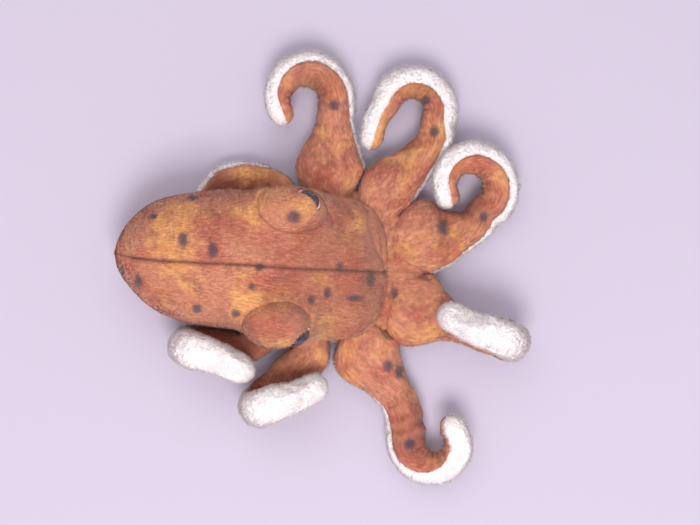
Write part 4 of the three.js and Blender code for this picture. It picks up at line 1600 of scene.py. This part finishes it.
@dataclass
class Crown:
    """The padded middle that the arms are sewn into: brown above and white underneath.

    Attributes:
        centre: Its middle, seen from above, in metres.
        columns: Points round it.
    """

    centre: tuple[float, float] = (7.3 * MM, 2.63 * MM)
    columns: int = 48

    def reach(self, turn: float) -> float:
        """How far it reaches in a direction, in metres.

        Args:
            turn: The direction in radians.

        Returns:
            Its radius that way.
        """
        ahead = math.cos(turn + 0.1)
        return (47 + 9 * max(ahead, 0) ** 2 - 15 * max(-ahead, 0) ** 1.5) * MM

    def build(self, wardrobe: Wardrobe) -> None:
        """Builds the crown's top and underside.

        Args:
            wardrobe: The shared finishes.
        """
        profile = (
            (0.25, 1.8), (0.55, 2.0), (0.8, 3.0), (0.93, 5.6), (0.985, 9.0), (1.0, 12.0), (0.99, 15.6),
            (0.95, 19.0), (0.84, 21.6), (0.55, 23.2), (0.25, 23.8),
        )
        turns = 2 * math.pi * np.arange(self.columns) / self.columns
        rings = []
        for share, height in profile:
            reach = np.array([self.reach(t) for t in turns]) * share
            rings.append(
                np.stack(
                    [self.centre[0] + np.cos(turns) * reach, self.centre[1] + np.sin(turns) * reach,
                     np.full(self.columns, height * MM)], 1,
                )
            )
        steps = [np.linalg.norm(after[0] - before[0]) for before, after in zip(rings, rings[1:])]
        run = np.concatenate([[0], np.cumsum(steps)])
        cage = Loft("crown", rings, run[-1] - run, 280 * MM).build()
        total = len(rings) * self.columns
        for face in cage.data.polygons:
            ring = [v // self.columns if v != total else 0 for v in face.vertices]
            face.material_index = 0 if min(ring) >= 5 else 1
        subdivide(cage, 2)
        for seam in COLLAR:
            seam.press(cage)
        cut = cut_by_marks(cage, ["top", "under"])
        jobs = (
            ("top", Cloth.MOTTLED, ("crown_wall_panel", "crown_stuffing"), 701),
            ("under", Cloth.WHITE, ("crown_under_panel",), 702),
        )
        for key, cloth, nodes, seed in jobs:
            Panel(cut[key], f"crown_{key}_skin", cloth, Ride("head"), nodes, seed).finish(wardrobe)


@dataclass(frozen=True)
class Studio:
    """The pale floor, the soft light and the camera.

    Attributes:
        floor: The floor's colour.
        aim: The point that the camera looks down on, in metres.
        distance: How far the camera is from the aim.
        lens: Its focal length in millimetres.
    """

    floor: tuple[int, int, int] = (196, 185, 202)
    aim: tuple[float, float] = (16.7 * MM, 4.1 * MM)
    distance: float = 1.1
    lens: float = 94.0

    def build(self) -> None:
        """Builds the stage, the lights and the camera."""
        bpy.context.scene.view_settings.view_transform = "Standard"
        self.build_floor()
        self.build_lights()
        self.build_camera()

    def build_floor(self) -> None:
        """Lays a plain pale floor."""
        bpy.ops.object.select_all(action="DESELECT")
        bpy.ops.mesh.primitive_plane_add(size=8.0)
        plane = bpy.context.object
        plane.name = "floor"
        book = NodeBook("floor_paper")
        place = book.add("ShaderNodeTexCoord").outputs["Object"]
        cloud = book.noise(place, 6.0, 2.0)
        low = tuple(c * 0.985 for c in linear(*self.floor))
        book.link(book.mix(cloud, low, linear(*self.floor)), book.shader.inputs["Base Color"])
        book.shader.inputs["Roughness"].default_value = 0.9
        plane.data.materials.append(book.material)

    def build_lights(self) -> None:
        """Sets a large soft light low at the toy's right side, and a soft fill from all round."""
        world = bpy.data.worlds.new("soft_fill")
        bpy.context.scene.world = world
        world.use_nodes = True
        shade = world.node_tree.nodes["Background"]
        shade.inputs[0].default_value = (0.95, 0.94, 1.0, 1.0)
        shade.inputs[1].default_value = 0.7
        for place, size, power in (((0.05, -0.75, 1.4), 0.7, 17.5), ((-0.3, 0.8, 1.6), 1.4, 6.5)):
            bpy.ops.object.light_add(type="AREA", location=place)
            lamp = bpy.context.object
            lamp.data.size, lamp.data.energy = size, power
            lamp.rotation_euler = (-Vector(place)).to_track_quat("-Z", "Y").to_euler()

    def build_camera(self) -> None:
        """Hangs the camera straight above the toy."""
        data = bpy.data.cameras.new("camera")
        camera = bpy.data.objects.new("camera", data)
        bpy.context.scene.collection.objects.link(camera)
        camera.location = (*self.aim, 0.025 + self.distance)
        camera.rotation_euler = (0.0, 0.0, 0.0)
        data.lens, data.sensor_width = self.lens, 36.0
        data.clip_start, data.clip_end = 0.05, 20.0
        bpy.context.scene.camera = camera


def arms() -> list[Arm]:
    """The eight arms, in order round the crown."""
    return [
        Arm(
            "arm_1", SECTORS[0], 14, 6, ((-43, 52.5, 11.5),),
            Curl((-57, 35, 10.5), (18, 18), 96, 46, (0, 0, -2.5), 4, (25, 50)),
            1, 11, low=True, roll=(14.0, 14.0), folds=((0.034, 0.06),), widen=0.96,
        ),
        Arm(
            "arm_2", SECTORS[1], 19.5, TIP_HALF, ((6.5, 72, 11.5), (8.5, 90, 12.3)),
            Curl((-8.7, 103.6, 12.7), (17.8, 17), -5, 214, (0, 0, 5), 8, (50, 92)),
            4, 12, roll=(-5.0, 4.0), folds=((0.036, 0.058),), widen=1.1,
        ),
        Arm(
            "arm_3", SECTORS[2], 15.5, TIP_HALF, ((55, 62.5, 11.5), (68, 77.5, 12.6)),
            Curl((55.2, 96.5, 12.7), (17, 17), -22, 172, (0, 0, 1.6), 6, (66, 95)),
            4, 13, ends=((34, 92, 14.6), (30.8, 80.5, 14.6)), roll=(8.0, 8.0), widen=1.12,
        ),
        Arm(
            "arm_4", SECTORS[3], 20, TIP_HALF, ((74, 20, 11), (91, 26, 12.2)),
            Curl((90.4, 50, 12.7), (18, 15), -62, 262, (0, 0, 14), 9, (58, 96)),
            5, 14, roll=(-10.0, 10.0),
        ),
        Arm(
            "arm_5", SECTORS[4], 20, BLUNT_HALF, ((82, -33, 11.7),),
            Curl((101, -39.2, 26.4), (14.5, 14.5), -90, 180, (0, 1.5, 0), 6, upright=-20),
            3, 15, ends=((90.5, -34.2, 39.5), (79, -28, 34.5)),
        ),
        Arm(
            "arm_6", SECTORS[5], 19.5, 8, ((38, -66, 11.5), (47.5, -80, 12), (51.5, -95, 12.4)),
            Curl((67.2, -104.5, 13.2), (15.4, 15), 192, 205, (0, 0, 9), 8, (35, 132)),
            4, 16, roll=(0.0, 20.0), folds=((0.05, 0.092),), widen=1.12,
        ),
        Arm(
            "arm_7", SECTORS[6], 13.5, BLUNT_HALF, ((-19, -63, 11.7),),
            Curl((-26.5, -71, 26.4), (14.5, 14.5), -90, 180, (0.5, -7.5, 0), 6, upright=212),
            3, 17, ends=((-15.5, -75.5, 39), (-5, -70.5, 34.5)), widen=0.92,
        ),
        Arm(
            "arm_8", SECTORS[7], 10, BLUNT_HALF, ((-48, -47, 11.7),),
            Curl((-66.2, -46.4, 26.4), (14.5, 14.5), -90, 180, (-1, -4, 0), 6, upright=168),
            3, 18, ends=((-59.5, -53.2, 39), (-48.5, -58.5, 34.5)), low=True, widen=0.8,
        ),
    ]


def brows() -> list[Brow]:
    """The two brows with their eyes."""
    return [
        Brow("left", 6.34, 34, 6.6, (22 * MM, 16 * MM, 17 * MM), (0.45, 0.6, 0.646), 801, 3.3 * MM),
        Brow("right", 5.96, 148, 2.4, (20 * MM, 15 * MM, 17 * MM), (0.6, -0.72, 0.255), 802, 1.2 * MM),
    ]


def main() -> None:
    """Builds the toy part by part, then its studio."""
    logging.basicConfig(level=logging.INFO, format="%(message)s")
    wardrobe = Wardrobe()
    Body().build(wardrobe)
    for brow in brows():
        brow.build(wardrobe)
    Crown().build(wardrobe)
    for arm in arms():
        arm.build(wardrobe)
    Studio().build()


if __name__ == "__main__":
    main()
